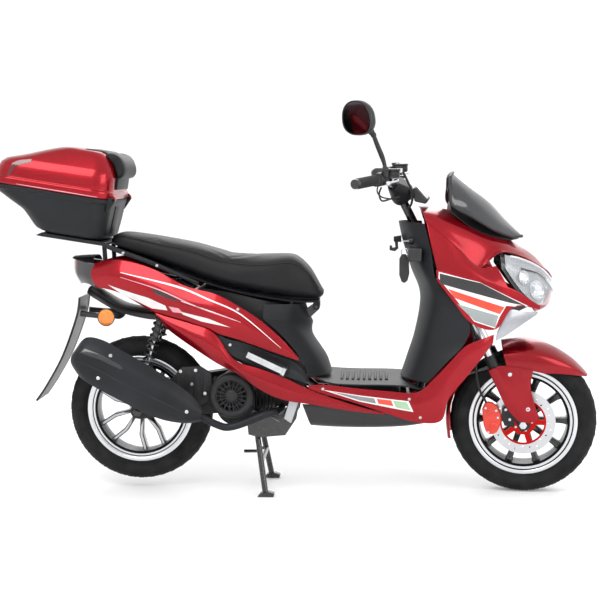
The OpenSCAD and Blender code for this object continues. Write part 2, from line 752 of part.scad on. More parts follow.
module front_mudguard() {
  top = [for (s = [[106, 286, 106, 206], [90, 283, 107, 194], [72, 276, 100, 190], [55, 271, 82, 214],
      [44, 270, 56, 240], [37, 270, 24, 262]])
    across([guard_point(s[3], s[0], -s[2]), guard_point(s[1] - (s[1] - s[3]) * 0.32, s[0], -s[2] * 0.86),
      guard_point(s[1], s[0], 0)])];
  tail = [for (a = [194, 176, 158, 144]) across([guard_point(254, a, -66), guard_point(264, a, -50),
    guard_point(267, a, 0)])];
  leg = [[802, 417], [795, 382], [806, 338], [826, 277], [820, 268], [784, 256], [753, 264], [718, 312],
    [688, 373], [654, 436], [700, 446]];
  turned() color("#b0101c") {
    sheet(net(top, 3, 3), skin);
    sheet(net(tail, 2, 2), skin);
    both_sides() difference() {
      side_plate(leg, 103, 106);
      translate([front_x, 130, front_z]) rotate([90, 0, 0]) cylinder(h = 60, r = 16);
    }
    both_sides() side_plate([[560, 400], [566, 404], [662, 446], [668, 436]], 58, 61);
  }
}

module front_caliper() {
  plate = [[634, 300], [650, 322], [690, 306], [702, 262], [690, 214], [660, 206], [640, 240]];
  inner = [[646, 292], [656, 310], [684, 300], [694, 262], [684, 222], [650, 212], [642, 246]];
  bridge = [[646, 292], [656, 310], [670, 304], [661, 280], [657, 250], [661, 218], [650, 212], [642, 246]];
  turned() color("#d02010") {
    side_plate(plate, -80, -58);
    side_plate(inner, -46, -34);
    side_plate(bridge, -60, -40);
  }
}

module rim_ring() {
  rotate_extrude() polygon([[150, -40], [147, -8], [147, 8], [150, 40], [172, 45], [rim_r, 45], [rim_r, 41],
    [168, 40], [156, 34], [153, 8], [153, -8], [156, -34], [168, -40], [rim_r, -41], [rim_r, -45],
    [172, -45]]);
}

module tyre_ring() {
  w = tyre_w / 2;
  rotate_extrude() polygon([[158, 30], [168, 39.4], [rim_r, 40.4], [190, w - 7], [204, w], [222, w - 2],
    [236, w - 14], [245, w - 32], [tyre_r, 0], [245, 32 - w], [236, 14 - w], [222, 2 - w], [204, -w],
    [190, 7 - w], [rim_r, -40.4], [168, -39.4], [158, -30], [172, -30], [196, 12 - w], [216, 12 - w],
    [232, 26 - w], [238, 0], [232, w - 26], [216, w - 12], [196, w - 12], [172, 30]]);
}

module front_rim() {
  turned() on_wheel(front_x, front_z) color("#151515") {
    rim_ring();
    difference() {
      union() {
        translate([0, 0, -48]) cylinder(h = 96, r = 36);
        for (a = [0:36:324]) rotate([0, 0, a]) translate([30, -11, -13]) cube([118, 22, 26]);
      }
      translate([0, 0, -50]) cylinder(h = 100, r = 8.05);
    }
  }
}

module front_tyre() {
  turned() on_wheel(front_x, front_z) color("#101010") tyre_ring();
}

module front_disc() {
  turned() on_wheel(front_x, front_z) color("silver") difference() {
    union() {
      translate([0, 0, 50]) difference() {
        cylinder(h = 4, r = 110);
        translate([0, 0, -1]) cylinder(h = 6, r = 72);
      }
      translate([0, 0, 48.2]) cylinder(h = 4, r = 44);
      for (a = [0:72:288]) rotate([0, 0, a]) translate([30, -9, 49]) cube([48, 18, 3.5]);
    }
    translate([0, 0, 40]) cylinder(h = 20, r = 14);
    for (a = [0:15:345]) rotate([0, 0, a]) translate([84 + 6 * (a / 15 % 3), 0, 40])
      cylinder(h = 20, r = 3, $fn = 24);
  }
}

// ---------- engine and rear wheel ----------

module y_bore(x, z, r) {
  translate([x, 200, z]) rotate([90, 0, 0]) cylinder(h = 400, r = r);
}

module shock_lug(side) {
  for (y = [-14, 8.5]) side_plate([[-516, 300], [-512, 404], [-520, 416], [-536, 416], [-544, 404],
    [-552, 300]], side * shock_y + y, side * shock_y + y + 5.5);
  translate([shock_foot[0], side * shock_y + 14, shock_foot[2]]) rotate([90, 0, 0]) cylinder(h = 28, r = 5);
}

module crankcase() {
  color("#2b2d30") difference() {
    union() {
      side_plate(stadium([-217, 338], 72, [-212, 300], 66), -98, 69.5);
      side_plate(stadium([-236, 318], 40, [rear_x, rear_z], 26), -98, -70);
      for (y = [-60, 30])
        side_plate(stadium([-205, 300], 34, [swing_pivot[0], swing_pivot[2]], 20), y, y + 30);
      translate([-150, 0, 335]) rotate([0, 90, 0]) cylinder(h = 70, r = 44);
      for (x = [-140:14:-84]) translate([x, 0, 335]) rotate([0, 90, 0]) cylinder(h = 6, r = 54);
      translate([-80, -46, 292]) cube([50, 92, 86]);
      shock_lug(-1);
    }
    y_bore(swing_pivot[0], swing_pivot[2], 8.05);
    y_bore(rear_x, rear_z, 8.05);
    translate([fan_at[0], -84, fan_at[2]]) rotate([90, 0, 0]) cylinder(h = 20, r = 10.05);
  }
}

module transmission_cover() {
  color("#2b2d30") difference() {
    union() {
      side_plate(stadium([-217, 335], 72, [rear_x, 290], 62), 70, 134);
      side_plate(stadium([-217, 335], 60, [-430, 306], 50), 134, 142);
      shock_lug(1);
    }
    translate([rear_x, 124, rear_z]) rotate([90, 0, 0]) cylinder(h = 60, r = 8.05);
    translate([-300, 150, 300]) rotate([90, 0, 0]) cylinder(h = 30, r = 7.05);
  }
}

module fan_cover() {
  color("#202225") translate(fan_at) rotate([90, 0, 0]) difference() {
    translate([0, 0, 98.4]) cylinder(h = 53, r = fan_r);
    translate([0, 0, 90]) cylinder(h = 58, r = fan_r - 3);
    for (a = [0:20:340]) rotate([0, 0, a]) translate([20, -2.5, 140]) cube([30, 5, 20]);
  }
}

module cooling_fan() {
  color("silver") translate(fan_at) rotate([90, 0, 0]) {
    translate([0, 0, 86]) cylinder(h = 58, r = 10);
    translate([0, 0, 110]) cylinder(h = 3, r = 62);
    for (a = [0:24:336]) rotate([0, 0, a]) translate([34, -1.5, 112.8]) cube([26, 3, 28]);
  }
}

module exhaust() {
  header = [[-56, -47, 289], [-62, -100, 286], [-100, -156, 284], [-215, -160, 240], [-275, -166, 250],
    [-370, -170, 303]];
  tail = [-735, -170, 490];
  front = [-330, -170, 283];
  length = norm(tail - front);
  color("#2a2b2d") {
    bent_tube(header, 13);
    translate(front) rotate([0, -acos((tail[2] - front[2]) / length), 0]) rotate_extrude()
      polygon([[0, 0], [16, 0], [34, 34], [52, 90], [silencer_r - 2, 170], [silencer_r, 300],
        [silencer_r, 404], [silencer_r - 5, 430], [silencer_r - 16, 446], [30, length], [0, length]]);
    side_plate([[-470, 300], [-470, 330], [-430, 330], [-430, 300]], -112, -98.4);
  }
}

module rear_rim() {
  on_wheel(rear_x, rear_z) color("silver") {
    rim_ring();
    translate([0, 0, -62]) cylinder(h = 124, r = 44);
    translate([0, 0, -122]) cylinder(h = 228, r = 8);
    for (a = [0:72:288], s = [-1, 1]) rotate([0, 0, a]) {
      linear_extrude(34, center = true) polygon([[36, s * 4], [92, s * 28], [149, s * 28], [149, s * 46],
        [86, s * 46], [30, s * 22]]);
    }
  }
}

module rear_tyre() {
  on_wheel(rear_x, rear_z) color("#101010") tyre_ring();
}

module shock_bodies() {
  color("#1a1a1a") on_shock() difference() {
    union() {
      translate([0, 14, 0]) rotate([90, 0, 0]) cylinder(h = 28, r = 13);
      translate([0, 0, -150]) cylinder(h = 142, r = 13);
      translate([0, 0, -36]) cylinder(h = 6, r = 20);
    }
    translate([0, 20, 0]) rotate([90, 0, 0]) cylinder(h = 40, r = 6.05);
    translate([0, 0, -151]) cylinder(h = 110, r = 9);
  }
}

module shock_rods() {
  color("silver") on_shock() difference() {
    union() {
      translate([0, 7.5, -shock_len]) rotate([90, 0, 0]) cylinder(h = 15, r = 11);
      translate([0, 0, -shock_len]) cylinder(h = 164, r = 6);
      translate([0, 0, -shock_len + 34]) cylinder(h = 6, r = 20);
    }
    translate([0, 20, -shock_len]) rotate([90, 0, 0]) cylinder(h = 40, r = 6.6);
  }
}

module shock_springs() {
  color("#303030") on_shock() translate([0, 0, -shock_len + 40.3]) difference() {
    cylinder(h = shock_len - 76.6, r = 20);
    translate([0, 0, -1]) cylinder(h = shock_len, r = 15);
  }
}

module centre_stand() {
  color("#141414") {
    difference() {
      union() {
        translate([stand_pivot[0], 108, stand_pivot[2]]) rotate([90, 0, 0]) cylinder(h = 216, r = 14);
        both_sides() rod([-140, 84, 218], [-106, 152, 14], 10);
        rod([-121, -116, 112], [-121, 116, 112], 8);
        bent_tube([[-124, 124, 118], [-162, 150, 96], [-205, 166, 92]], 6);
      }
      y_bore(stand_pivot[0], stand_pivot[2], 8.05);
      translate([-250, -250, -30]) cube([500, 500, 30]);
    }
    both_sides() side_plate([[-132, 0], [-78, 0], [-74, 12], [-92, 18], [-122, 14]], 140, 168);
  }
}

module kick_lever() {
  color("silver") {
    translate([-300, 164, 300]) rotate([90, 0, 0]) cylinder(h = 42, r = 7);
    translate([-300, 166, 300]) rotate([90, 0, 0]) cylinder(h = 20, r = 12);
    rod([-306, 156, 299], [-470, 162, 266], 7.5);
    rod([-466, 154, 267], [-466, 188, 267], 9);
  }
}

// ---------- seat and small moving parts ----------

seat_line = [[-640, 60, 852, 872], [-625, 92, 842, 888], [-588, 112, 828, 893], [-480, 124, 790, 875],
  [-358, 131, 748, 852], [-285, 138, 722, 828], [-221, 141, 704, 813], [-148, 141, 688, 809],
  [-91, 135, 678, 812], [-31, 121, 668, 818], [3, 107, 664, 806], [42, 92, 662, 767], [72, 70, 664, 712],
  [86, 44, 674, 694]];

module seat_cushion() {
  color("#141414") loft([for (s = smooth(seat_line, 2)) hoop(s)]);
}

module seat_base() {
  color("#26282b") {
    loft([for (s = smooth([for (i = [1:len(seat_line) - 2]) seat_line[i]], 2))
      hoop([s[0], s[1] - 8, s[2] - 10, s[2] - 0.4])]);
    both_sides() difference() {
      union() {
        side_plate([[51, 636], [51, 653], [73, 653], [73, 636]], 26, 38);
        translate([seat_pivot[0], 38, seat_pivot[2]]) rotate([90, 0, 0]) cylinder(h = 12, r = 11);
      }
      y_bore(seat_pivot[0], seat_pivot[2], 5.05);
    }
  }
}

module ignition_key() {
  color("silver") translate(lock_at) rotate([0, 90, 0]) {
    cylinder(h = 18, r = 8);
    translate([-1.5, -12, -26]) cube([3, 24, 25.4]);
  }
}

module bag_hook() {
  color("#26282b") difference() {
    union() {
      translate(hook_at + [0, 13, 0]) rotate([90, 0, 0]) cylinder(h = 26, r = 8);
      side_plate([[328, 868], [340, 868], [342, 836], [330, 826], [312, 830], [312, 846], [320, 846],
        [322, 838], [332, 840]], -11, 11);
    }
    y_bore(hook_at[0], hook_at[2], 4.05);
  }
}

module footpeg() {
  color("silver") translate(peg_pivot) rotate([0, peg_lean, 0]) difference() {
    union() {
      translate([0, 0, -12]) cylinder(h = 24, r = 8);
      translate([-134, -6, -10]) cube([132, 12, 20]);
    }
    translate([0, 0, -30]) cylinder(h = 60, r = 4.05);
  }
}

module left_footpeg() {
  footpeg();
}

module right_footpeg() {
  mirror([0, 1, 0]) footpeg();
}

frame_tubes();
head_bearings();
front_fairing();
headlight();
windscreen();
leg_shield();
indicators();
floor_panels();
floorboard();
seat_column();
side_covers();
tail_light();
rear_mudguard();
luggage_rack();
helmet_bucket();
fuel_tank();
battery();
box_base();
steering_stem();
fork_tubes();
handlebar();
handlebar_cover();
instrument_panel();
brake_masters();
left_grip();
control_cables();
throttle_grip();
right_brake_lever();
left_brake_lever();
starter_button();
horn_button();
mirror_stem();
mirror_head();
fork_legs();
front_mudguard();
front_caliper();
front_axle();
front_rim();
front_tyre();
front_disc();
crankcase();
transmission_cover();
exhaust();
fan_cover();
cooling_fan();
rear_rim();
rear_tyre();
shock_bodies();
shock_rods();
shock_springs();
centre_stand();
seat_base();
seat_cushion();
box_lid();
box_pad();
kick_lever();
ignition_key();
bag_hook();
right_footpeg();
left_footpeg();
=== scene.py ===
import bpy
import bmesh
import json
import math
from mathutils import Matrix, Vector
from mathutils.bvhtree import BVHTree


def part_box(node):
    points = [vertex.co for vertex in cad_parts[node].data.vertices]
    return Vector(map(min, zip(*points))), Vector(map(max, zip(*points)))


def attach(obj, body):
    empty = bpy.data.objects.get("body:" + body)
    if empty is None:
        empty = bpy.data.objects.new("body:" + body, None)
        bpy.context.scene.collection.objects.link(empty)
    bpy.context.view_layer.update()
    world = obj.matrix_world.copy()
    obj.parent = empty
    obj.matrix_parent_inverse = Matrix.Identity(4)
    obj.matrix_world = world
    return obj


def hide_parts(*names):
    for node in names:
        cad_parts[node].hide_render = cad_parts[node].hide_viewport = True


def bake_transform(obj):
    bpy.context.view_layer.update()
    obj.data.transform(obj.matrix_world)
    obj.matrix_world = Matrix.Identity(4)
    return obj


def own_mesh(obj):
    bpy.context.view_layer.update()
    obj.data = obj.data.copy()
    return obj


# Motor scooter with windscreen, long seat and top box.
# Outlines and control points are in millimetres and become metres in the mesh makers.

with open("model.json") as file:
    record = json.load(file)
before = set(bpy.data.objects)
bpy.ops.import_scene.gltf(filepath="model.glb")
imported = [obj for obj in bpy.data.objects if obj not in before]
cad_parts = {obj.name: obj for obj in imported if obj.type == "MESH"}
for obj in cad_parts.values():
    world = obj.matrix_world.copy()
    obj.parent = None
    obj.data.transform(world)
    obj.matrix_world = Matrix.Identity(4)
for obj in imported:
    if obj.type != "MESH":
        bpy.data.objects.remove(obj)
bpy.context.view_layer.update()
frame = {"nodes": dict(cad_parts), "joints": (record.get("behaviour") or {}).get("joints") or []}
joints = {j["name"]: j for j in frame["joints"]}
milli = 0.001

steeringAxis = Vector(joints["steering_turn"]["axis"])
steeringFoot = Vector(joints["steering_turn"]["pos_m"])
barsTurned = math.radians(-6)  # how the bars stand at rest
turnMatrix = (Matrix.Translation(steeringFoot) @ Matrix.Rotation(barsTurned, 4, steeringAxis)
              @ Matrix.Translation(-steeringFoot))
sideMirror = Matrix.Scale(-1, 4, (0, 1, 0))


def middle(node):
    low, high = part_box(node)
    return (low + high) / 2


# Curves and nets.

def curvePoint(a, b, c, d, t):
    return 0.5 * (2 * b + (c - a) * t + (2 * a - 5 * b + 4 * c - d) * t * t + (3 * b - a - 3 * c + d) * t ** 3)


def smoothLine(points, steps):
    pts = [Vector(p) for p in points]
    last = len(pts) - 1
    line = []
    for i in range(last):
        around = pts[max(i - 1, 0)], pts[i], pts[i + 1], pts[min(i + 2, last)]
        line += [curvePoint(*around, k / steps) for k in range(steps)]
    return line + [pts[last]]


def smoothLoop(points, steps):
    pts = [Vector(p) for p in points]
    n = len(pts)
    return [curvePoint(pts[i - 1], pts[i], pts[(i + 1) % n], pts[(i + 2) % n], k / steps)
            for i in range(n) for k in range(steps)]


def netOf(rows, n, m):
    lines = [smoothLine(row, m) for row in rows]
    columns = [smoothLine([line[j] for line in lines], n) for j in range(len(lines[0]))]
    return [[column[i] for column in columns] for i in range(len(columns[0]))]


def across(row):  # adds the other half to a row that ends on the middle plane
    return list(row) + [(p[0], -p[1], p[2]) for p in reversed(row[:-1])]


def flipped(row):
    return [(p[0], -p[1], p[2]) for p in row]


# Mesh makers.

def newObject(name, mesh):
    piece = bpy.data.objects.new(name, mesh)
    bpy.context.scene.collection.objects.link(piece)
    return piece


def meshObject(name, points, faces):
    mesh = bpy.data.meshes.new(name)
    mesh.from_pydata([tuple(Vector(p) * milli) for p in points], [], faces)
    mesh.validate()
    return newObject(name, mesh)


def moved(piece, matrix):
    piece.data.transform(matrix)
    if matrix.determinant() < 0:
        piece.data.flip_normals()
    return piece


def outward(piece, weld=0.00002):
    work = bmesh.new()
    work.from_mesh(piece.data)
    bmesh.ops.remove_doubles(work, verts=work.verts, dist=weld)
    bmesh.ops.recalc_face_normals(work, faces=work.faces)
    work.to_mesh(piece.data)
    work.free()
    return piece


def joined(name, pieces):
    work = bmesh.new()
    for piece in pieces:
        work.from_mesh(piece.data)
        bpy.data.objects.remove(piece)
    mesh = bpy.data.meshes.new(name)
    work.to_mesh(mesh)
    work.free()
    return newObject(name, mesh)


def mirrored(piece):  # the piece and its twin on the other side, as one
    twin = newObject(piece.name + "_twin", piece.data.copy())
    moved(twin, sideMirror)
    name = piece.name
    piece.name = name + "_half"
    return joined(name, [piece, twin])


def settle(piece, angle=38):
    graph = bpy.context.evaluated_depsgraph_get()
    mesh = bpy.data.meshes.new_from_object(piece.evaluated_get(graph))
    piece.modifiers.clear()
    piece.data = mesh
    mesh.polygons.foreach_set("use_smooth", [True] * len(mesh.polygons))
    mesh.set_sharp_from_angle(angle=math.radians(angle))
    return piece


def thicken(piece, wall):
    solid = piece.modifiers.new("wall", "SOLIDIFY")
    solid.thickness = wall * milli
    solid.offset = -1
    solid.use_even_offset = True
    return piece


def soften(piece, width, segments=2, limit=35):
    edge = piece.modifiers.new("edge", "BEVEL")
    edge.width = width * milli
    edge.segments = segments
    edge.limit_method = "ANGLE"
    edge.angle_limit = math.radians(limit)
    return piece


def panel(name, rows, steps=(7, 7), wall=3, edge=0.9):
    grid = netOf(rows, *steps)
    cols = len(grid[0])
    faces = [(i * cols + j, (i + 1) * cols + j, (i + 1) * cols + j + 1, i * cols + j + 1)
             for i in range(len(grid) - 1) for j in range(cols - 1)]
    piece = meshObject(name, [p for row in grid for p in row], faces)
    if wall:
        thicken(piece, wall)
        soften(piece, edge)
    return settle(piece)


def plate(name, outline, y0, y1, edge=1.5, segments=3):
    n = len(outline)
    points = [(p[0], y, p[1]) for y in (y0, y1) for p in outline]
    faces = [tuple(range(n)), tuple(range(2 * n - 1, n - 1, -1))]
    faces += [(k, n + k, n + (k + 1) % n, (k + 1) % n) for k in range(n)]
    piece = outward(meshObject(name, points, faces))
    if edge:
        soften(piece, edge, segments)
    return settle(piece)


def lathe(name, profile, centre=(0, 0, 0), turns=96, closed=True, axis="Y"):
    n = len(profile)
    points = []
    for k in range(turns):
        a = 2 * math.pi * k / turns
        for r, h in profile:
            c, s = r * math.cos(a), r * math.sin(a)
            spot = (c, h, s) if axis == "Y" else (c, s, h)
            points.append(Vector(centre) + Vector(spot))
    span = n if closed else n - 1
    faces = [(k * n + j, k * n + (j + 1) % n, ((k + 1) % turns) * n + (j + 1) % n, ((k + 1) % turns) * n + j)
             for k in range(turns) for j in range(span)]
    return settle(outward(meshObject(name, points, faces)))


def skinOver(name, rings, capped=True, edge=0):
    n = len(rings[0])
    points = [p for ring in rings for p in ring]
    faces = [(i * n + k, i * n + (k + 1) % n, (i + 1) * n + (k + 1) % n, (i + 1) * n + k)
             for i in range(len(rings) - 1) for k in range(n)]
    if capped:
        faces += [tuple(range(n - 1, -1, -1)), tuple(range((len(rings) - 1) * n, len(rings) * n))]
    piece = outward(meshObject(name, points, faces))
    if edge:
        soften(piece, edge)
    return settle(piece)


def ringAt(at, along, radius, sides, squeeze=1.0):
    along = along.normalized()
    side = along.cross(Vector((0, 1, 0)) if abs(along.y) < 0.9 else Vector((1, 0, 0))).normalized()
    up = along.cross(side)
    return [at + radius * (math.cos(2 * math.pi * k / sides) * side
                           + squeeze * math.sin(2 * math.pi * k / sides) * up) for k in range(sides)]


def tube(name, points, radius, sides=20, steps=6):
    line = smoothLine(points, steps)
    last = len(line) - 1
    radii = radius if isinstance(radius, (list, tuple)) else [radius, radius]
    rings = []
    for i, at in enumerate(line):
        along = line[min(i + 1, last)] - line[max(i - 1, 0)]
        share = i / last * (len(radii) - 1)
        k = min(int(share), len(radii) - 2)
        rings.append(ringAt(at, along, radii[k] + (radii[k + 1] - radii[k]) * (share - k), sides))
    return skinOver(name, rings)


def block(name, low, high, edge=1.5, segments=3):
    return plate(name, [(low[0], low[2]), (high[0], low[2]), (high[0], high[2]), (low[0], high[2])],
                 low[1], high[1], edge, segments)


def stadium(a, ra, b, rb, count=14):
    a, b = Vector(a), Vector(b)
    d = b - a
    t = math.atan2(d.y, d.x)
    s = math.acos((ra - rb) / d.length)
    first = [t + s + k * (2 * math.pi - 2 * s) / count for k in range(count + 1)]
    second = [t - s + k * 2 * s / count for k in range(count + 1)]
    return ([(a.x + ra * math.cos(q), a.y + ra * math.sin(q)) for q in first]
            + [(b.x + rb * math.cos(q), b.y + rb * math.sin(q)) for q in second])


def dress(piece, finish, body, replaces=()):
    piece.data.materials.clear()
    piece.data.materials.append(finish)
    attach(piece, body)
    if replaces:
        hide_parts(*replaces)
    return piece


# Geometry node trees for what repeats.

def newTree(name, inputs):
    tree = bpy.data.node_groups.new(name, "GeometryNodeTree")
    for label, kind, value in [("Geometry", "NodeSocketGeometry", None)] + inputs:
        socket = tree.interface.new_socket(label, in_out="INPUT", socket_type=kind)
        if value is not None:
            socket.default_value = value
    tree.interface.new_socket("Geometry", in_out="OUTPUT", socket_type="NodeSocketGeometry")
    return tree, tree.nodes.new("NodeGroupInput"), tree.nodes.new("NodeGroupOutput")


def wire(tree, *pairs):
    for start, end in pairs:
        tree.links.new(start, end)


def addNode(tree, kind, operation=None, **values):
    node = tree.nodes.new(kind)
    if operation:
        node.operation = operation
    for label, value in values.items():
        node.inputs[label.replace("_", " ")].default_value = value
    return node


def endTree(tree, given, out, source):
    real = tree.nodes.new("GeometryNodeRealizeInstances")
    coat = tree.nodes.new("GeometryNodeSetMaterial")
    wire(tree, (source, real.inputs[0]), (real.outputs[0], coat.inputs["Geometry"]),
         (given.outputs["Material"], coat.inputs["Material"]), (coat.outputs[0], out.inputs[0]))
    return tree


def makeRingTree():  # turns copies of the item about an axis through the centre
    tree, given, out = newTree("ringOfItems", [
        ("Count", "NodeSocketInt", 5), ("Centre", "NodeSocketVector", None),
        ("Axis", "NodeSocketVector", None),
        ("Sweep", "NodeSocketFloat", 2 * math.pi), ("Material", "NodeSocketMaterial", None)])
    line = addNode(tree, "GeometryNodeMeshLine", Offset=(0, 0, 0))
    back = addNode(tree, "ShaderNodeVectorMath", "SCALE", Scale=-1)
    shift = tree.nodes.new("GeometryNodeTransform")
    copies = tree.nodes.new("GeometryNodeInstanceOnPoints")
    number = tree.nodes.new("GeometryNodeInputIndex")
    step = addNode(tree, "ShaderNodeMath", "DIVIDE")
    angle = addNode(tree, "ShaderNodeMath", "MULTIPLY")
    turn = tree.nodes.new("FunctionNodeAxisAngleToRotation")
    wire(tree, (given.outputs["Count"], line.inputs["Count"]),
         (given.outputs["Centre"], line.inputs["Start Location"]),
         (given.outputs["Centre"], back.inputs[0]), (back.outputs[0], shift.inputs["Translation"]),
         (given.outputs["Geometry"], shift.inputs["Geometry"]), (shift.outputs[0], copies.inputs["Instance"]),
         (line.outputs[0], copies.inputs["Points"]), (given.outputs["Sweep"], step.inputs[0]),
         (given.outputs["Count"], step.inputs[1]), (step.outputs[0], angle.inputs[0]),
         (number.outputs[0], angle.inputs[1]), (angle.outputs[0], turn.inputs["Angle"]),
         (given.outputs["Axis"], turn.inputs["Axis"]), (turn.outputs[0], copies.inputs["Rotation"]))
    return endTree(tree, given, out, copies.outputs[0])


def makeRowTree():  # copies of the item in a straight row
    tree, given, out = newTree("rowOfItems", [
        ("Count", "NodeSocketInt", 5), ("Step", "NodeSocketVector", None),
        ("Material", "NodeSocketMaterial", None)])
    line = tree.nodes.new("GeometryNodeMeshLine")
    copies = tree.nodes.new("GeometryNodeInstanceOnPoints")
    wire(tree, (given.outputs["Count"], line.inputs["Count"]), (given.outputs["Step"], line.inputs["Offset"]),
         (line.outputs[0], copies.inputs["Points"]), (given.outputs["Geometry"], copies.inputs["Instance"]))
    return endTree(tree, given, out, copies.outputs[0])


def makeSpotTree():  # one item on each point, turned to the point's aim
    tree, given, out = newTree("itemOnPoints", [
        ("Item", "NodeSocketObject", None), ("Size", "NodeSocketFloat", 1.0),
        ("Material", "NodeSocketMaterial", None)])
    item = tree.nodes.new("GeometryNodeObjectInfo")
    aim = addNode(tree, "GeometryNodeInputNamedAttribute", Name="aim")
    aim.data_type = "FLOAT_VECTOR"
    turn = tree.nodes.new("FunctionNodeAlignRotationToVector")
    turn.axis = "Z"
    copies = tree.nodes.new("GeometryNodeInstanceOnPoints")
    wire(tree, (given.outputs["Geometry"], copies.inputs["Points"]), (given.outputs["Item"], item.inputs[0]),
         (item.outputs["Geometry"], copies.inputs["Instance"]),
         (aim.outputs["Attribute"], turn.inputs["Vector"]), (turn.outputs[0], copies.inputs["Rotation"]),
         (given.outputs["Size"], copies.inputs["Scale"]))
    return endTree(tree, given, out, copies.outputs[0])


def makeCoilTree():  # a wire wound up along Z
    tree, given, out = newTree("coilOfWire", [
        ("Turns", "NodeSocketFloat", 8.0), ("Radius", "NodeSocketFloat", 0.02),
        ("Height", "NodeSocketFloat", 0.1), ("Wire", "NodeSocketFloat", 0.003),
        ("Material", "NodeSocketMaterial", None)])
    spiral = addNode(tree, "GeometryNodeCurveSpiral", Resolution=24)
    section = addNode(tree, "GeometryNodeCurvePrimitiveCircle", Resolution=12)
    sweep = addNode(tree, "GeometryNodeCurveToMesh", Fill_Caps=True)
    wire(tree, (given.outputs["Turns"], spiral.inputs["Rotations"]),
         (given.outputs["Radius"], spiral.inputs["Start Radius"]),
         (given.outputs["Radius"], spiral.inputs["End Radius"]),
         (given.outputs["Height"], spiral.inputs["Height"]), (given.outputs["Wire"], section.inputs["Radius"]),
         (spiral.outputs[0], sweep.inputs["Curve"]), (section.outputs[0], sweep.inputs["Profile Curve"]))
    return endTree(tree, given, out, sweep.outputs[0])


ringTree, rowTree, spotTree, coilTree = makeRingTree(), makeRowTree(), makeSpotTree(), makeCoilTree()


def grow(piece, tree, finish, **values):
    values["Material"] = finish
    modifier = piece.modifiers.new("grow", "NODES")
    modifier.node_group = tree
    for socket in tree.interface.items_tree:
        if socket.in_out == "INPUT" and socket.name in values:
            modifier[socket.identifier] = values[socket.name]
    return settle(piece)


def ringOf(piece, count, centre, finish, axis=(0, 1, 0), sweep=2 * math.pi):
    return grow(piece, ringTree, finish, Count=count, Centre=tuple(Vector(centre) * milli), Axis=tuple(axis),
                Sweep=sweep)


def rowOf(piece, count, step, finish):
    return grow(piece, rowTree, finish, Count=count, Step=tuple(Vector(step) * milli))


def onSpots(name, spots, item, finish, size=1.0):
    piece = meshObject(name, [at for at, aim in spots], [])
    aims = piece.data.attributes.new("aim", "FLOAT_VECTOR", "POINT")
    for k, (at, aim) in enumerate(spots):
        aims.data[k].vector = aim
    return grow(piece, spotTree, finish, Item=item, Size=size)


# Finishes.

def nodesOf(name):
    finish = bpy.data.materials.new(name)
    finish.use_nodes = True
    return finish, finish.node_tree, finish.node_tree.nodes["Principled BSDF"]


def grainOn(tree, kind, scale, detail=3.0, stretch=(1, 1, 1)):
    place = tree.nodes.new("ShaderNodeTexCoord")
    sized = addNode(tree, "ShaderNodeMapping", Scale=stretch)
    grain = tree.nodes.new("ShaderNodeTexVoronoi" if kind == "cells" else "ShaderNodeTexNoise")
    grain.inputs["Scale"].default_value = scale
    if kind != "cells":
        grain.inputs["Detail"].default_value = detail
    wire(tree, (place.outputs["Object"], sized.inputs["Vector"]),
         (sized.outputs["Vector"], grain.inputs["Vector"]))
    return grain.outputs["Distance"] if kind == "cells" else grain.outputs["Fac"]


def shadeBetween(tree, value, low, high, start=0.3, end=0.7):
    ramp = tree.nodes.new("ShaderNodeValToRGB")
    ramp.color_ramp.elements[0].position = start
    ramp.color_ramp.elements[0].color = (*low, 1)
    ramp.color_ramp.elements[1].position = end
    ramp.color_ramp.elements[1].color = (*high, 1)
    tree.links.new(value, ramp.inputs[0])
    return ramp.outputs[0]


def numberBetween(tree, value, low, high):
    span = addNode(tree, "ShaderNodeMapRange", To_Min=low, To_Max=high)
    tree.links.new(value, span.inputs["Value"])
    return span.outputs[0]


def bumpFrom(tree, shader, value, strength, depth):
    bump = addNode(tree, "ShaderNodeBump", Strength=strength, Distance=depth)
    wire(tree, (value, bump.inputs["Height"]), (bump.outputs[0], shader.inputs["Normal"]))


def makeFinish(name, dark, light, rough=(0.4, 0.5), patch=6.0, grain=("noise", 900.0), bump=(0.2, 0.0002),
               stretch=(1, 1, 1), **sockets):
    finish, tree, shader = nodesOf(name)
    cloud = grainOn(tree, "noise", patch, 5.0)
    fine = grainOn(tree, *grain, stretch=stretch)
    wire(tree, (shadeBetween(tree, cloud, dark, light), shader.inputs["Base Color"]),
         (numberBetween(tree, fine, *rough), shader.inputs["Roughness"]))
    bumpFrom(tree, shader, fine, *bump)
    for label, value in sockets.items():
        shader.inputs[label.replace("_", " ")].default_value = value
    return finish


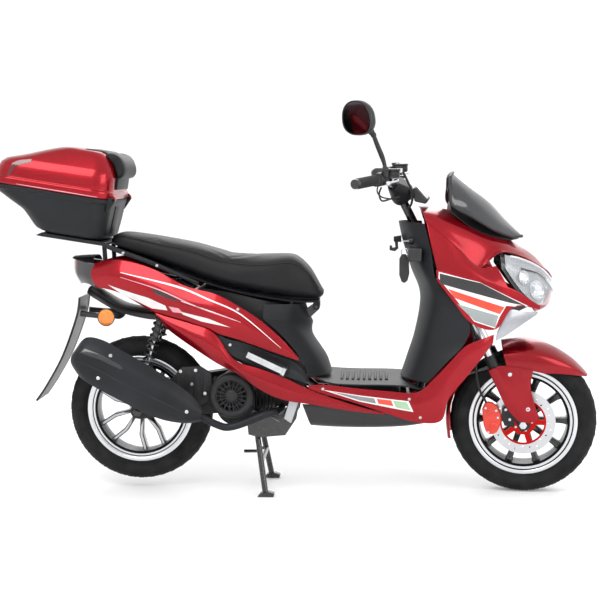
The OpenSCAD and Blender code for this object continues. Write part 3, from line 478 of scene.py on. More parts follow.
def makeDialled(name, centre, bands, rough=0.3, spread=0.06, metallic=1.0):
    # Turned metal with colour by distance from a wheel's axle: bands are (radius in metres, colour).
    finish, tree, shader = nodesOf(name)
    place = tree.nodes.new("ShaderNodeTexCoord")
    centred = addNode(tree, "ShaderNodeVectorMath", "DISTANCE")
    centred.inputs[1].default_value = centre
    tree.links.new(place.outputs["Object"], centred.inputs[0])
    widest = 0.3
    reach = addNode(tree, "ShaderNodeMapRange", From_Max=widest)
    tree.links.new(centred.outputs["Value"], reach.inputs["Value"])
    ramp = tree.nodes.new("ShaderNodeValToRGB")
    ramp.color_ramp.interpolation = "CONSTANT"
    for k, (radius, colour) in enumerate(bands):
        spot = ramp.color_ramp.elements[k] if k < 2 else ramp.color_ramp.elements.new(radius / widest)
        spot.position = radius / widest
        spot.color = (*colour, 1)
    rings = tree.nodes.new("ShaderNodeTexNoise")
    rings.noise_dimensions = "1D"
    rings.inputs["Scale"].default_value = 2500
    wire(tree, (reach.outputs[0], ramp.inputs[0]), (ramp.outputs[0], shader.inputs["Base Color"]),
         (centred.outputs["Value"], rings.inputs["W"]),
         (numberBetween(tree, rings.outputs["Fac"], rough - spread, rough + spread),
          shader.inputs["Roughness"]))
    bumpFrom(tree, shader, rings.outputs["Fac"], 0.15, 0.0001)
    shader.inputs["Metallic"].default_value = metallic
    return finish


candyRed = makeFinish("candyRed", (0.25, 0.0008, 0.006), (0.34, 0.0012, 0.009), (0.22, 0.32), 3.0,
                      ("cells", 1400.0), (0.05, 0.00005), Metallic=0.7, Coat_Weight=0.4, Coat_Roughness=0.04,
                      Specular_IOR_Level=0.3)
darkPlastic = makeFinish("darkPlastic", (0.01, 0.0105, 0.0125), (0.015, 0.016, 0.019), (0.4, 0.54), 5.0,
                         ("cells", 1100.0), (0.35, 0.00012), Specular_IOR_Level=0.22)
satinPlastic = makeFinish("satinPlastic", (0.008, 0.008, 0.009), (0.013, 0.013, 0.015), (0.33, 0.45), 5.0,
                          ("noise", 700.0), (0.2, 0.0001))
blackEnamel = makeFinish("blackEnamel", (0.006, 0.006, 0.007), (0.011, 0.011, 0.012), (0.2, 0.34), 9.0,
                         ("noise", 260.0), (0.12, 0.0002), Coat_Weight=0.5, Coat_Roughness=0.12)
castBlack = makeFinish("castBlack", (0.008, 0.008, 0.009), (0.02, 0.02, 0.022), (0.42, 0.6), 12.0,
                       ("noise", 420.0), (0.5, 0.0004), Metallic=0.35)
castAlloy = makeFinish("castAlloy", (0.012, 0.012, 0.013), (0.03, 0.03, 0.032), (0.4, 0.6), 14.0,
                       ("noise", 380.0), (0.6, 0.0005), Metallic=0.5)
brightSteel = makeFinish("brightSteel", (0.5, 0.51, 0.53), (0.66, 0.67, 0.69), (0.16, 0.32), 30.0,
                         ("noise", 300.0), (0.1, 0.0001), (1, 1, 6), Metallic=1.0)
paintedSilver = makeFinish("paintedSilver", (0.42, 0.43, 0.45), (0.5, 0.51, 0.53), (0.26, 0.36), 10.0,
                           ("cells", 1300.0), (0.08, 0.00008), Metallic=0.85, Coat_Weight=0.5)
treadRubber = makeFinish("treadRubber", (0.008, 0.008, 0.0085), (0.02, 0.02, 0.021), (0.62, 0.82), 16.0,
                         ("noise", 520.0), (0.4, 0.0004), Specular_IOR_Level=0.12)
gripRubber = makeFinish("gripRubber", (0.008, 0.008, 0.009), (0.014, 0.014, 0.015), (0.55, 0.7), 30.0,
                        ("noise", 900.0), (0.3, 0.0002))
seatVinyl = makeFinish("seatVinyl", (0.007, 0.007, 0.008), (0.011, 0.011, 0.012), (0.42, 0.56), 7.0,
                       ("cells", 620.0), (0.5, 0.00035), Specular_IOR_Level=0.2)
caliperRed = makeFinish("caliperRed", (0.6, 0.02, 0.008), (0.72, 0.04, 0.012), (0.28, 0.4), 20.0,
                        ("noise", 500.0), (0.2, 0.0002), Coat_Weight=0.4)
heatBlack = makeFinish("heatBlack", (0.014, 0.0145, 0.017), (0.022, 0.023, 0.027), (0.36, 0.5), 8.0,
                       ("noise", 800.0), (0.25, 0.00015), Metallic=0.2, Specular_IOR_Level=0.2)
amberLens = makeFinish("amberLens", (0.75, 0.16, 0.01), (0.9, 0.26, 0.02), (0.12, 0.2), 60.0,
                       ("cells", 260.0), (0.3, 0.0006), Coat_Weight=1.0, Subsurface_Weight=0.2)
darkRedLens = makeFinish("darkRedLens", (0.05, 0.001, 0.002), (0.1, 0.002, 0.004), (0.08, 0.16), 30.0,
                         ("cells", 200.0), (0.2, 0.0006), Coat_Weight=1.0)
smokedLens = makeFinish("smokedLens", (0.012, 0.012, 0.014), (0.03, 0.03, 0.034), (0.1, 0.18), 12.0,
                        ("noise", 60.0), (0.05, 0.0002), Coat_Weight=1.0)
chromeShell = makeFinish("chromeShell", (0.55, 0.56, 0.58), (0.85, 0.86, 0.88), (0.04, 0.12), 26.0,
                         ("noise", 40.0), (0.15, 0.0006), Metallic=1.0)
whiteFilm = makeFinish("whiteFilm", (0.7, 0.66, 0.66), (0.82, 0.8, 0.8), (0.2, 0.3), 14.0, Coat_Weight=0.8)
pinkFilm = makeFinish("pinkFilm", (0.62, 0.2, 0.26), (0.75, 0.38, 0.42), (0.2, 0.3), 14.0, Coat_Weight=0.8)
blackFilm = makeFinish("blackFilm", (0.004, 0.004, 0.005), (0.01, 0.01, 0.012), (0.2, 0.3), 14.0,
                       Coat_Weight=0.8)
orangeFilm = makeFinish("orangeFilm", (0.62, 0.03, 0.008), (0.72, 0.05, 0.012), (0.2, 0.3), 14.0,
                        Coat_Weight=0.8)
greyFilm = makeFinish("greyFilm", (0.16, 0.17, 0.18), (0.32, 0.36, 0.35), (0.2, 0.3), 5.0, Coat_Weight=0.8,
                      Metallic=0.3)
greenFilm = makeFinish("greenFilm", (0.2, 0.42, 0.18), (0.36, 0.5, 0.36), (0.2, 0.3), 9.0, Coat_Weight=0.8)
greyWing = makeFinish("greyWing", (0.3, 0.31, 0.33), (0.45, 0.46, 0.5), (0.15, 0.3), 9.0, Coat_Weight=1.0,
                      Metallic=0.4)


def makeClear(name, tint, rough, alpha):
    finish, tree, shader = nodesOf(name)
    fine = grainOn(tree, "noise", 30.0)
    wire(tree, (shadeBetween(tree, fine, tint, [min(1, c * 1.12) for c in tint]), shader.inputs["Base Color"]),
         (numberBetween(tree, fine, rough, rough * 1.6), shader.inputs["Roughness"]))
    shader.inputs["Alpha"].default_value = alpha
    shader.inputs["IOR"].default_value = 1.49
    shader.inputs["Coat Weight"].default_value = 1.0
    shader.inputs["Coat Roughness"].default_value = 0.02
    return finish


clearLens = makeClear("clearLens", (0.8, 0.84, 0.88), 0.03, 0.22)
smokedScreen = makeClear("smokedScreen", (0.02, 0.021, 0.024), 0.05, 0.88)
mirrorGlass = makeFinish("mirrorGlass", (0.05, 0.052, 0.056), (0.08, 0.082, 0.088), (0.02, 0.05), 5.0,
                         bump=(0.0, 0.0001), Metallic=1.0)
print("helpers and finishes ready")


# Front bodywork.

def bodyPanel(name, rows, finish, slot, body="frame", both=False, turned=False, replaces=(), **shape):
    piece = panel(name, rows, **shape)
    if both:
        piece = mirrored(piece)
    if turned:
        moved(piece, turnMatrix)
    return dress(piece, finish, body, replaces)


hoodRows = [across(row) for row in [
    [(430, -150, 936), (420, -122, 968), (410, 0, 982)],
    [(495, -163, 882), (490, -126, 948), (488, 0, 974)],
    [(552, -168, 828), (566, -124, 912), (574, 0, 950)],
    [(606, -168, 782), (640, -116, 872), (660, 0, 909)],
    [(676, -148, 832), (712, -96, 850), (738, 0, 856)],
    [(752, -112, 818), (780, -66, 816), (806, 0, 810)],
    [(826, -66, 778), (850, -36, 762), (868, 0, 738)]]]
bandRows = [
    [(468, -188, 738), (466, -186, 755), (464, -182, 774)],
    [(520, -198, 672), (521, -202, 718), (524, -196, 760)],
    [(581, -203, 600), (583, -206, 672), (588, -200, 750)],
    [(662, -196, 580), (662, -200, 652), (664, -194, 730)],
    [(722, -180, 652), (724, -180, 682), (726, -178, 708)],
    [(812, -140, 641), (813, -139, 646), (814, -138, 652)]]
cheekRows = [
    [(470, -184, 768), (449, -172, 850), (432, -149, 934)],
    [(526, -196, 754), (512, -186, 810), (496, -163, 881)],
    [(590, -199, 744), (574, -190, 780), (553, -168, 827)],
    [(664, -193, 724), (642, -186, 750), (610, -169, 784)],
    [(704, -184, 712), (690, -180, 742), (664, -166, 788)]]
chinRows = [flipped(across(row)) for row in [
    [(852, -46, 700), (862, -24, 704), (866, 0, 704)],
    [(836, -50, 662), (846, -26, 650), (850, 0, 646)],
    [(800, -60, 640), (806, -30, 626), (808, 0, 622)]]]
lensRows = [
    [(694, -172, 780), (694, -166, 800), (692, -150, 824)],
    [(742, -166, 712), (746, -158, 768), (748, -120, 812)],
    [(792, -142, 664), (806, -120, 748), (812, -78, 784)],
    [(830, -104, 652), (850, -76, 708), (850, -48, 752)],
    [(848, -60, 656), (866, -40, 690), (868, -26, 726)]]
screenRows = [across(row) for row in [
    [(516, -124, 1042), (516, -76, 1080), (528, 0, 1096)],
    [(520, -138, 990), (556, -96, 1038), (576, 0, 1056)],
    [(588, -130, 950), (622, -86, 982), (646, 0, 1000)],
    [(668, -104, 902), (694, -64, 922), (708, 0, 934)],
    [(736, -40, 876), (752, -22, 880), (764, 0, 880)]]]
shieldRows = [across(row) for row in [
    [(436, -200, 400), (372, -120, 402), (352, 0, 402)],
    [(500, -200, 468), (410, -130, 470), (374, 0, 470)],
    [(560, -197, 532), (440, -140, 545), (398, 0, 545)],
    [(574, -196, 600), (462, -145, 640), (416, 0, 640)],
    [(516, -192, 672), (450, -140, 700), (414, 0, 700)],
    [(462, -182, 744), (416, -120, 770), (386, 0, 770)],
    [(446, -166, 840), (392, -100, 860), (358, 0, 860)],
    [(424, -146, 926), (366, -80, 930), (342, 0, 930)]]]
signalRows = [
    [(664, -186, 540), (664, -188, 556), (668, -186, 572)],
    [(700, -184, 560), (698, -186, 600), (704, -180, 640)],
    [(752, -168, 594), (752, -168, 616), (756, -164, 636)],
    [(800, -140, 622), (804, -138, 628), (806, -136, 634)]]
floorSideRows = [
    [(42, -197, 376), (42, -200, 382), (42, -200, 388)],
    [(100, -200, 358), (100, -206, 374), (100, -204, 391)],
    [(200, -202, 330), (200, -211, 356), (200, -207, 381)],
    [(304, -203, 296), (304, -214, 338), (304, -210, 373)],
    [(400, -202, 268), (400, -214, 320), (402, -208, 369)],
    [(484, -198, 272), (478, -210, 342), (456, -206, 411)],
    [(510, -196, 346), (508, -206, 404), (506, -203, 464)],
    [(572, -190, 424), (566, -200, 476), (562, -199, 522)],
    [(620, -184, 484), (618, -192, 516), (614, -190, 545)],
    [(656, -174, 532), (657, -176, 546), (658, -175, 560)]]


def shifted(rows, x=0, y=0, z=0):
    return [[(p[0] + x, p[1] + y, p[2] + z) for p in row] for row in rows]


def edgeLine(grid, side):
    return {"first": grid[0], "last": grid[-1], "low": [row[0] for row in grid],
            "high": [row[-1] for row in grid]}[side]


def makeFront():
    front = {"screenRim": 5.5, "bowlDepth": 16, "stripRadius": 3.2, "lampBowl": 30}
    bodyPanel("front_hood", hoodRows, candyRed, "red_paint", steps=(9, 8), replaces=["front_fairing"])
    bodyPanel("front_band", bandRows, candyRed, "red_paint", both=True)
    bodyPanel("front_cheek", cheekRows, candyRed, "red_paint", both=True)
    bodyPanel("front_chin", chinRows, candyRed, "red_paint")
    bodyPanel("wind_screen", screenRows, smokedScreen, "smoked_screen", steps=(10, 8), wall=3,
              replaces=["windscreen"])
    grid = netOf(screenRows, 10, 8)
    rim = edgeLine(grid, "low") + edgeLine(grid, "last")[1:] + edgeLine(grid, "high")[::-1][1:] \
        + edgeLine(grid, "first")[::-1][1:-1]
    inset = [p + Vector((-2, 0, -1)) for p in rim]
    rings = [ringAt(p, inset[(i + 1) % len(inset)] - inset[i - 1], front["screenRim"], 12)
             for i, p in enumerate(inset)]
    dress(skinOver("screen_rim", rings + [rings[0]], capped=False), satinPlastic, "frame")
    shelf = [across(row) for row in [
        [(514, -122, 968), (514, -70, 990), (516, 0, 1000)],
        [(590, -112, 908), (606, -66, 934), (618, 0, 944)],
        [(664, -92, 880), (690, -54, 894), (704, 0, 900)],
        [(724, -40, 866), (742, -22, 870), (752, 0, 872)]]]
    bodyPanel("screen_shelf", shelf, satinPlastic, "black_plastic")
    bodyPanel("headlight_lens", lensRows, clearLens, "clear_lens", both=True, wall=2.5,
              replaces=["headlight"])
    bodyPanel("headlight_bowl", shifted(lensRows, -14, front["bowlDepth"], 0), smokedLens, "black_plastic",
              both=True, wall=2)
    grid = netOf(shifted(lensRows, -3, 5, -2), 6, 6)
    strip = [row[-1] for row in grid][3:-2]
    dress(mirrored(tube("headlight_strip", strip, front["stripRadius"], 12, 2)), whiteFilm, "frame")
    brow = [row[len(row) // 2 + 1] + Vector((0, 2, 0)) for row in grid][6:-1]
    dress(mirrored(tube("headlight_brow", brow, [9, 7, 4], 12, 2)), smokedLens, "frame")
    bowl = [(2, 0), (front["lampBowl"] * 0.5, 4), (front["lampBowl"] * 0.86, 14), (front["lampBowl"], 26),
            (front["lampBowl"] + 2, 26), (front["lampBowl"] * 0.9, 12), (front["lampBowl"] * 0.5, 1), (2, -3)]
    for name, spot, size in [("low_beam", (786, -112, 700), 1.0), ("side_beam", (744, -146, 746), 0.72)]:
        lamp = lathe(name, [(r * size, h * size) for r, h in bowl], turns=48, axis="Z")
        moved(lamp, Matrix.Translation(Vector(spot) * milli)
              @ Vector((0.62, -0.75, 0.2)).to_track_quat("Z", "Y").to_matrix().to_4x4())
        dress(mirrored(lamp), chromeShell, "frame")
    bodyPanel("signal_front", signalRows, greyWing, "amber_lens", both=True)
    print("front bodywork made")


def makeShield():
    shield = {"lugApart": 17, "ringWide": 12, "ringTall": 14, "ringWire": 1.6}
    bodyPanel("leg_guard", shieldRows, darkPlastic, "dark_plastic", steps=(8, 8), replaces=["leg_shield"])
    lock = Vector((372, -86, 866))
    barrel = lathe("lock_barrel", [(8.4, 2), (8.4, 44), (11.5, 45), (13, 43), (13, 6), (11, 0)],
                   turns=48, axis="Z")
    moved(barrel, Matrix.Translation(lock * milli) @ Matrix.Rotation(math.radians(90), 4, "Y"))
    dress(barrel, satinPlastic, "frame")
    for y in (-shield["lugApart"], shield["lugApart"]):
        lug = plate("hook_lug_" + ("right" if y < 0 else "left"),
                    [(326, 860), (326, 876), (352, 880), (352, 858)], y - 3, y + 3)
        dress(lug, darkPlastic, "frame")
    dress(block("glove_pocket", (372, -168, 800), (418, -104, 846), 6), satinPlastic, "frame")
    fob = plate("key_fob", [(352, 822), (344, 806), (344, 752), (352, 728), (362, 724), (372, 732), (378, 756),
                            (376, 806), (366, 822)], -100, -90, 3)
    hoopLine = [Vector((362 + shield["ringWide"] * math.cos(a), -95, 828 + shield["ringTall"] * math.sin(a)))
                for a in [k * math.pi / 12 for k in range(24)]]
    rings = [ringAt(p, hoopLine[(i + 1) % 24] - hoopLine[i - 1], shield["ringWire"], 8)
             for i, p in enumerate(hoopLine)]
    dress(fob, satinPlastic, "frame")
    dress(skinOver("key_ring", rings + [rings[0]], capped=False), brightSteel, "frame")
    print("leg shield made")


makeFront()
makeShield()


# Floor and side panels.

upperRows = [
    [(-692, -92, 706), (-704, -100, 744), (-706, -84, 784)],
    [(-600, -126, 688), (-602, -146, 746), (-600, -122, 804)],
    [(-484, -146, 626), (-482, -168, 700), (-480, -144, 770)],
    [(-371, -160, 588), (-371, -182, 655), (-371, -158, 716)],
    [(-268, -172, 558), (-270, -188, 628), (-270, -168, 690)],
    [(-188, -176, 536), (-190, -192, 598), (-192, -174, 650)],
    [(-110, -180, 508), (-112, -192, 558), (-120, -180, 604)],
    [(-42, -184, 486), (-44, -190, 516), (-50, -184, 544)],
    [(8, -187, 470), (9, -187, 474), (10, -187, 478)]]
recessRows = [
    [(-262, -170, 540), (-262, -170, 546), (-262, -169, 551)],
    [(-226, -176, 492), (-226, -174, 514), (-226, -172, 538)],
    [(-170, -182, 466), (-170, -166, 492), (-170, -174, 524)],
    [(-80, -188, 432), (-80, -168, 462), (-80, -176, 490)],
    [(4, -192, 406), (2, -178, 432), (2, -180, 460)],
    [(36, -194, 392), (34, -188, 406), (32, -186, 424)]]
lowerRows = [
    [(-470, -150, 610), (-474, -154, 617), (-478, -152, 624)],
    [(-430, -156, 566), (-430, -168, 590), (-430, -160, 610)],
    [(-350, -166, 510), (-352, -184, 552), (-356, -170, 590)],
    [(-264, -176, 456), (-270, -194, 510), (-276, -178, 560)],
    [(-200, -182, 424), (-202, -198, 448), (-206, -186, 472)],
    [(-120, -186, 370), (-118, -202, 406), (-114, -192, 440)],
    [(-40, -190, 337), (-38, -204, 374), (-34, -196, 411)],
    [(60, -194, 322), (60, -206, 346), (60, -198, 368)],
    [(180, -196, 302), (180, -206, 315), (180, -201, 328)],
    [(296, -200, 292), (296, -203, 294), (296, -202, 296)]]
columnRows = [across(flipped(row)) for row in [
    [(46, -180, 411), (102, -90, 411), (116, 0, 411)],
    [(16, -172, 476), (72, -104, 470), (98, 0, 466)],
    [(-52, -168, 556), (20, -104, 546), (50, 0, 540)],
    [(-112, -160, 606), (-24, -108, 596), (50, 0, 586)]]]


def makeFloor():
    floor = {"ribs": 9, "ribStep": 19, "ribHalf": 92, "halfWidth": 199}
    bodyPanel("floor_side", floorSideRows, candyRed, "red_paint", both=True, replaces=["floor_panels"])
    bodyPanel("seat_front", columnRows, darkPlastic, "dark_plastic", steps=(9, 9), replaces=["seat_column"])
    collar = [across(flipped(row)) for row in [
        [(-112, -160, 600), (-24, -108, 590), (50, 0, 584)],
        [(-112, -156, 632), (-18, -107, 626), (34, 0, 620)],
        [(-110, -150, 654), (-14, -104, 652), (24, 0, 650)]]]
    bodyPanel("seat_collar", collar, darkPlastic, "dark_plastic", steps=(5, 9))
    backing = mirrored(plate("side_backing", [(-300, 556), (-262, 540), (-120, 522), (16, 474), (42, 404),
                                              (20, 372),
                                              (-90, 408), (-200, 462), (-290, 512)], -153, -151, 0.6, 1))
    dress(backing, satinPlastic, "frame")
    w = floor["halfWidth"]
    deck = [across(row) for row in [
        [(64, -158, 410), (64, -80, 408), (64, 0, 408)],
        [(120, -w + 4, 397), (120, -90, 396), (120, 0, 396)],
        [(200, -w, 393), (200, -90, 393), (200, 0, 393)],
        [(350, -w, 391), (350, -90, 393), (350, 0, 393)],
        [(424, -w + 5, 376), (380, -110, 392), (362, 0, 396)]]]
    dress(panel("floor_mat", deck, steps=(6, 6), wall=4), darkPlastic, "frame", ["floorboard"])
    rib = plate("floor_ribs", [(146, 394), (156, 394), (154, 397.6), (148, 397.6)], -floor["ribHalf"],
                floor["ribHalf"], 0.8, 2)
    dress(rowOf(rib, floor["ribs"], (floor["ribStep"], 0, 0), darkPlastic), darkPlastic, "frame")
    keel = [across(row) for row in [
        [(20, -176, 322), (30, -178, 296), (48, -150, 246), (48, 0, 242)],
        [(130, -192, 320), (130, -192, 286), (130, -160, 243), (130, 0, 238)],
        [(250, -194, 308), (250, -192, 276), (250, -160, 242), (250, 0, 238)],
        [(370, -192, 296), (370, -190, 272), (370, -160, 248), (370, 0, 244)],
        [(470, -184, 292), (470, -182, 280), (468, -150, 263), (466, 0, 260)]]]
    dress(panel("belly_pan", [flipped(row) for row in keel], steps=(5, 4), wall=3), satinPlastic, "frame")
    print("floor made")


def makeSides():
    bodyPanel("side_upper", upperRows, candyRed, "red_paint", both=True, steps=(7, 8),
              replaces=["side_covers"])
    bodyPanel("side_recess", recessRows, darkPlastic, "dark_plastic", both=True)
    bodyPanel("side_lower", lowerRows, candyRed, "red_paint", both=True, steps=(7, 8))
    tail = [across(row) for row in [
        [(-712, -86, 724), (-744, -60, 715), (-758, 0, 711)],
        [(-722, -88, 756), (-762, -62, 752), (-778, 0, 752)],
        [(-722, -84, 790), (-762, -60, 798), (-780, 0, 802)]]]
    bodyPanel("tail_lens", tail, darkRedLens, "red_lens", wall=3, replaces=["tail_light"])
    cap = [across(row) for row in [
        [(-698, -86, 790), (-700, -60, 806), (-700, 0, 812)],
        [(-740, -78, 796), (-744, -56, 806), (-746, 0, 810)],
        [(-776, -56, 804), (-778, -30, 806), (-780, 0, 807)]]]
    bodyPanel("tail_cap", [flipped(row) for row in cap], darkPlastic, "dark_plastic")
    side = [
        [(-690, -96, 704), (-690, -98, 730), (-694, -92, 786)],
        [(-716, -90, 716), (-724, -92, 744), (-724, -88, 790)],
        [(-742, -66, 718), (-758, -70, 748), (-756, -66, 794)]]
    bodyPanel("tail_side_lens", side[::-1], smokedLens, "red_lens", both=True, wall=2)
    print("side covers made")


makeFloor()
makeSides()


# Decals and screws on the panels.

def filmOn(name, target, outline, finish, body, lift=0.5, cell=5.0, both=True):
    tree = BVHTree.FromObject(target, bpy.context.evaluated_depsgraph_get())
    n = len(outline)
    lowX, highX = min(p[0] for p in outline), max(p[0] for p in outline)
    lowZ, highZ = min(p[1] for p in outline), max(p[1] for p in outline)
    work = bmesh.new()
    work.faces.new([work.verts.new((x, 0, z)) for x, z in outline])
    for low, high, normal in [(lowX, highX, (1, 0, 0)), (lowZ, highZ, (0, 0, 1))]:
        for k in range(1, int((high - low) / cell) + 1):
            at = Vector(normal) * (low + k * cell)
            bmesh.ops.bisect_plane(work, geom=work.verts[:] + work.edges[:] + work.faces[:], plane_co=at,
                                   plane_no=normal)
    bmesh.ops.triangulate(work, faces=work.faces[:])
    lost = []
    for vert in work.verts:
        hit, normal, index, far = tree.ray_cast(Vector((vert.co.x * milli, -1, vert.co.z * milli)), (0, 1, 0))
        if hit is None:
            lost.append(vert)
        else:
            vert.co = hit + Vector((0, -lift * milli, 0))
    bmesh.ops.delete(work, geom=lost, context="VERTS")
    for face in work.faces:
        face.normal_update()
        if face.normal.y > 0:
            face.normal_flip()
    mesh = bpy.data.meshes.new(name)
    work.to_mesh(mesh)
    work.free()
    piece = newObject(name, mesh)
    if both:
        piece = mirrored(piece)
    return dress(settle(piece), finish, body)


def stripe(points, widths, steps=5):  # outline of a line with its own width at each point
    line = smoothLine([(x, 0, z) for x, z in points], steps)
    last = len(line) - 1
    upper, lower = [], []
    for i, at in enumerate(line):
        share = i / last * (len(widths) - 1)
        k = min(int(share), len(widths) - 2)
        half = (widths[k] + (widths[k + 1] - widths[k]) * (share - k)) / 2
        along = (line[min(i + 1, last)] - line[max(i - 1, 0)]).normalized()
        off = Vector((-along.z, 0, along.x)) * half
        upper.append(((at + off).x, (at + off).z))
        lower.append(((at - off).x, (at - off).z))
    return upper + lower[::-1]


def makeFilms():
    band = bpy.data.objects["front_band"]
    upper = bpy.data.objects["side_upper"]
    sill = bpy.data.objects["floor_side"]
    films = [
        ("film_window_edge", band, [(473, 769), (607, 736), (785, 647), (696, 658), (675, 623), (659, 583),
                                    (590, 606), (472, 748)], whiteFilm, 0.3),
        ("film_window_black", band, [(476, 764), (611, 733), (761, 656), (712, 666), (477, 731)],
         blackFilm, 0.6),
        ("film_window_orange", band, [(503, 714), (690, 653), (675, 630), (524, 684)], orangeFilm, 0.6),
        ("film_window_grey", band, [(534, 664), (670, 625), (660, 586), (591, 609)], greyFilm, 0.6),
        ("film_tail_white", upper, [(-642, 716), (-594, 701), (-498, 675), (-440, 650), (-434, 634),
                                    (-488, 639), (-595, 686)], whiteFilm, 0.5),
        ("film_tail_pink", upper, [(-429, 648), (-394, 642), (-380, 626), (-415, 628)], pinkFilm, 0.5),
        ("film_side_white", upper, [(-389, 631), (-295, 609), (-220, 580), (-316, 598), (-380, 621)],
         whiteFilm, 0.5),
        ("film_side_black", upper, [(-488, 709), (-450, 699), (-386, 664), (-413, 669), (-474, 691)],
         blackFilm, 0.5),
        ("film_line_upper", upper, stripe([(-595, 760), (-407, 716), (-295, 673), (-182, 622), (-50, 512)],
                                          [2, 6, 5, 4, 1]), whiteFilm, 0.5),
        ("film_line_lower", upper, stripe([(-595, 744), (-461, 704), (-327, 647), (-190, 600)],
                                          [1.5, 4, 4, 1]), pinkFilm, 0.5),
        ("film_line_thin", upper, stripe([(-386, 667), (-280, 632), (-184, 598)], [1.5, 3.5, 1]), whiteFilm,
         0.5),
        ("film_sill_edge", sill, [(90, 375), (212, 358), (376, 340), (392, 304), (332, 314), (212, 337)],
         whiteFilm, 0.3),
        ("film_sill_grey", sill, [(120, 369), (212, 355), (262, 349), (268, 331), (212, 341)], greyFilm, 0.6),
        ("film_sill_orange", sill, [(270, 348), (318, 343), (326, 323), (276, 331)], orangeFilm, 0.6),
        ("film_sill_green", sill, [(324, 342), (370, 337), (384, 309), (334, 319)], greenFilm, 0.6)]
    for name, target, outline, finish, lift in films:
        filmOn(name, target, outline, finish, "frame", lift)
    print("films laid on")


def screwItem(name, radius, head, socket):
    return lathe(name, [(0.3, head - 1.6), (socket, head - 1.6), (socket, head), (radius * 0.86, head),
                        (radius, head - 1), (radius, -1), (0.3, -1)], turns=20, closed=False, axis="Z")


def screwed(name, spots, body, sizes=(5.5, 2.6, 2.4), scale=1.0, place=None):
    screw = screwItem("screw_item", *sizes)
    piece = onSpots(name, spots, screw, brightSteel, scale)
    bpy.data.objects.remove(screw)
    if place:
        moved(piece, place)
    return dress(piece, brightSteel, body)


def sideSpots(points, turned=False, both=False):
    spots = []
    for x, y, z in points:
        for side in (-1, 1) if both else (math.copysign(1, y),):
            at, aim = Vector((x, side * abs(y), z)), Vector((0, side, 0))
            if turned:
                at = turnMatrix @ (at * milli) / milli
                aim = turnMatrix.to_3x3() @ aim
            spots.append((at, aim))
    return spots


def onFace(target, points, sides=(-1, 1)):
    tree = BVHTree.FromObject(target, bpy.context.evaluated_depsgraph_get())
    spots = []
    for x, z in points:
        hit, normal, index, far = tree.ray_cast(Vector((x * milli, -1, z * milli)), (0, 1, 0))
        for side in sides:
            spots.append((Vector((hit.x, -side * hit.y, hit.z)) / milli,
                          Vector((normal.x, -side * normal.y, normal.z))))
    return spots


def makeScrews():
    for name, target, points in [("screws_sill", "floor_side", [(378, 347), (415, 285), (91, 378)]),
                                 ("screws_side", "side_upper", [(-195, 640)]),
                                 ("screws_recess", "side_recess", [(-222, 520)])]:
        screwed(name, onFace(bpy.data.objects[target], points), "frame")
    print("screws set")


makeFilms()
makeScrews()


# Front mudguard, caliper and wheel.

def guardPoint(r, a, y):
    return (775 + r * math.cos(math.radians(a)), y, 248.8 + r * math.sin(math.radians(a)))


guardRows = [across([guardPoint(s[3], s[0], -s[2]),
guardPoint(s[1] - (s[1] - s[3]) * 0.32, s[0], -s[2] * 0.86),
                     guardPoint(s[1], s[0], 0)])
             for s in [(106, 286, 106, 206), (90, 283, 107, 194), (72, 276, 100, 190), (55, 271, 82, 214),
                       (44, 270, 56, 240), (37, 270, 24, 262)]]
guardTail = [across([guardPoint(254, a, -66), guardPoint(264, a, -50), guardPoint(267, a, 0)])
             for a in (194, 176, 158, 144)]
guardLeg = [
    [(654, -98, 436), (676, -106, 444), (700, -104, 452), (756, -106, 450), (806, -104, 440)],
    [(682, -101, 382), (706, -109, 384), (738, -110, 386), (772, -109, 386), (797, -103, 385)],
    [(703, -102, 338), (728, -110, 338), (756, -112, 338), (784, -110, 338), (807, -104, 338)],
    [(722, -103, 304), (746, -110, 303), (770, -112, 302), (798, -110, 302), (818, -105, 302)],
    [(750, -103, 272), (766, -107, 271), (788, -108, 270), (810, -107, 274), (827, -104, 280)],
    [(760, -103, 263), (776, -104, 260), (792, -105, 258), (806, -104, 261), (820, -103, 267)]]


def wheelPlace(centre, turned):
    place = Matrix.Translation(Vector(centre) * milli)
    return turnMatrix @ place if turned else place


def rimProfile():
    return [(150, -40), (147, -8), (147, 8), (150, 40), (163, 43.5), (170, 43), (173, 45.5), (180, 46.5),
            (184, 45), (183, 41.5), (171, 39.5), (168, 39), (156, 34), (153, 8), (153, -8), (156, -34),
            (168, -39), (171, -39.5), (183, -41.5), (184, -45), (180, -46.5), (173, -45.5), (170, -43),
            (163, -43.5)]


def makeTyre(node, centre, turned, body, blocks):
    name = node + "_soft"
    w = 59
    profile = [(158, 30), (168, 39.2), (183, 41), (187, 47), (196, 55), (207, w), (219, w - 1), (230, w - 6),
               (238, w - 15), (243.5, w - 27), (247.2, w - 42), (248.8, 5), (246.2, 4), (246.2, -4),
               (248.8, -5), (247.2, 42 - w), (243.5, 27 - w), (238, 15 - w), (230, 6 - w), (219, 1 - w),
               (207, -w), (196, -55), (187, -47), (183, -41), (168, -39.2), (158, -30), (170, -28),
               (196, 12 - w), (216, 13 - w), (232, 26 - w), (238, 0), (232, w - 26), (216, w - 13),
               (196, w - 12), (170, 28)]
    groups = [lathe(name + "_carcass", profile, turns=144)]
    for side in (-1, 1):
        for kind, turn in (("wide", 0.0), ("slim", math.pi / blocks)):
            groups.append(ringOf(treadBlock(f"{name}_{kind}_{side}", side, kind, turn), blocks, (0, 0, 0),
                                 treadRubber))
        groups.append(lathe(f"{name}_rib_{side}", [(189, side * 47), (191, side * 51.5), (193.5, side * 52),
                                                   (195, side * 50)], turns=144))
    tyre = moved(settle(joined(name, groups)), wheelPlace(centre, turned))
    return dress(tyre, treadRubber, body, [node])


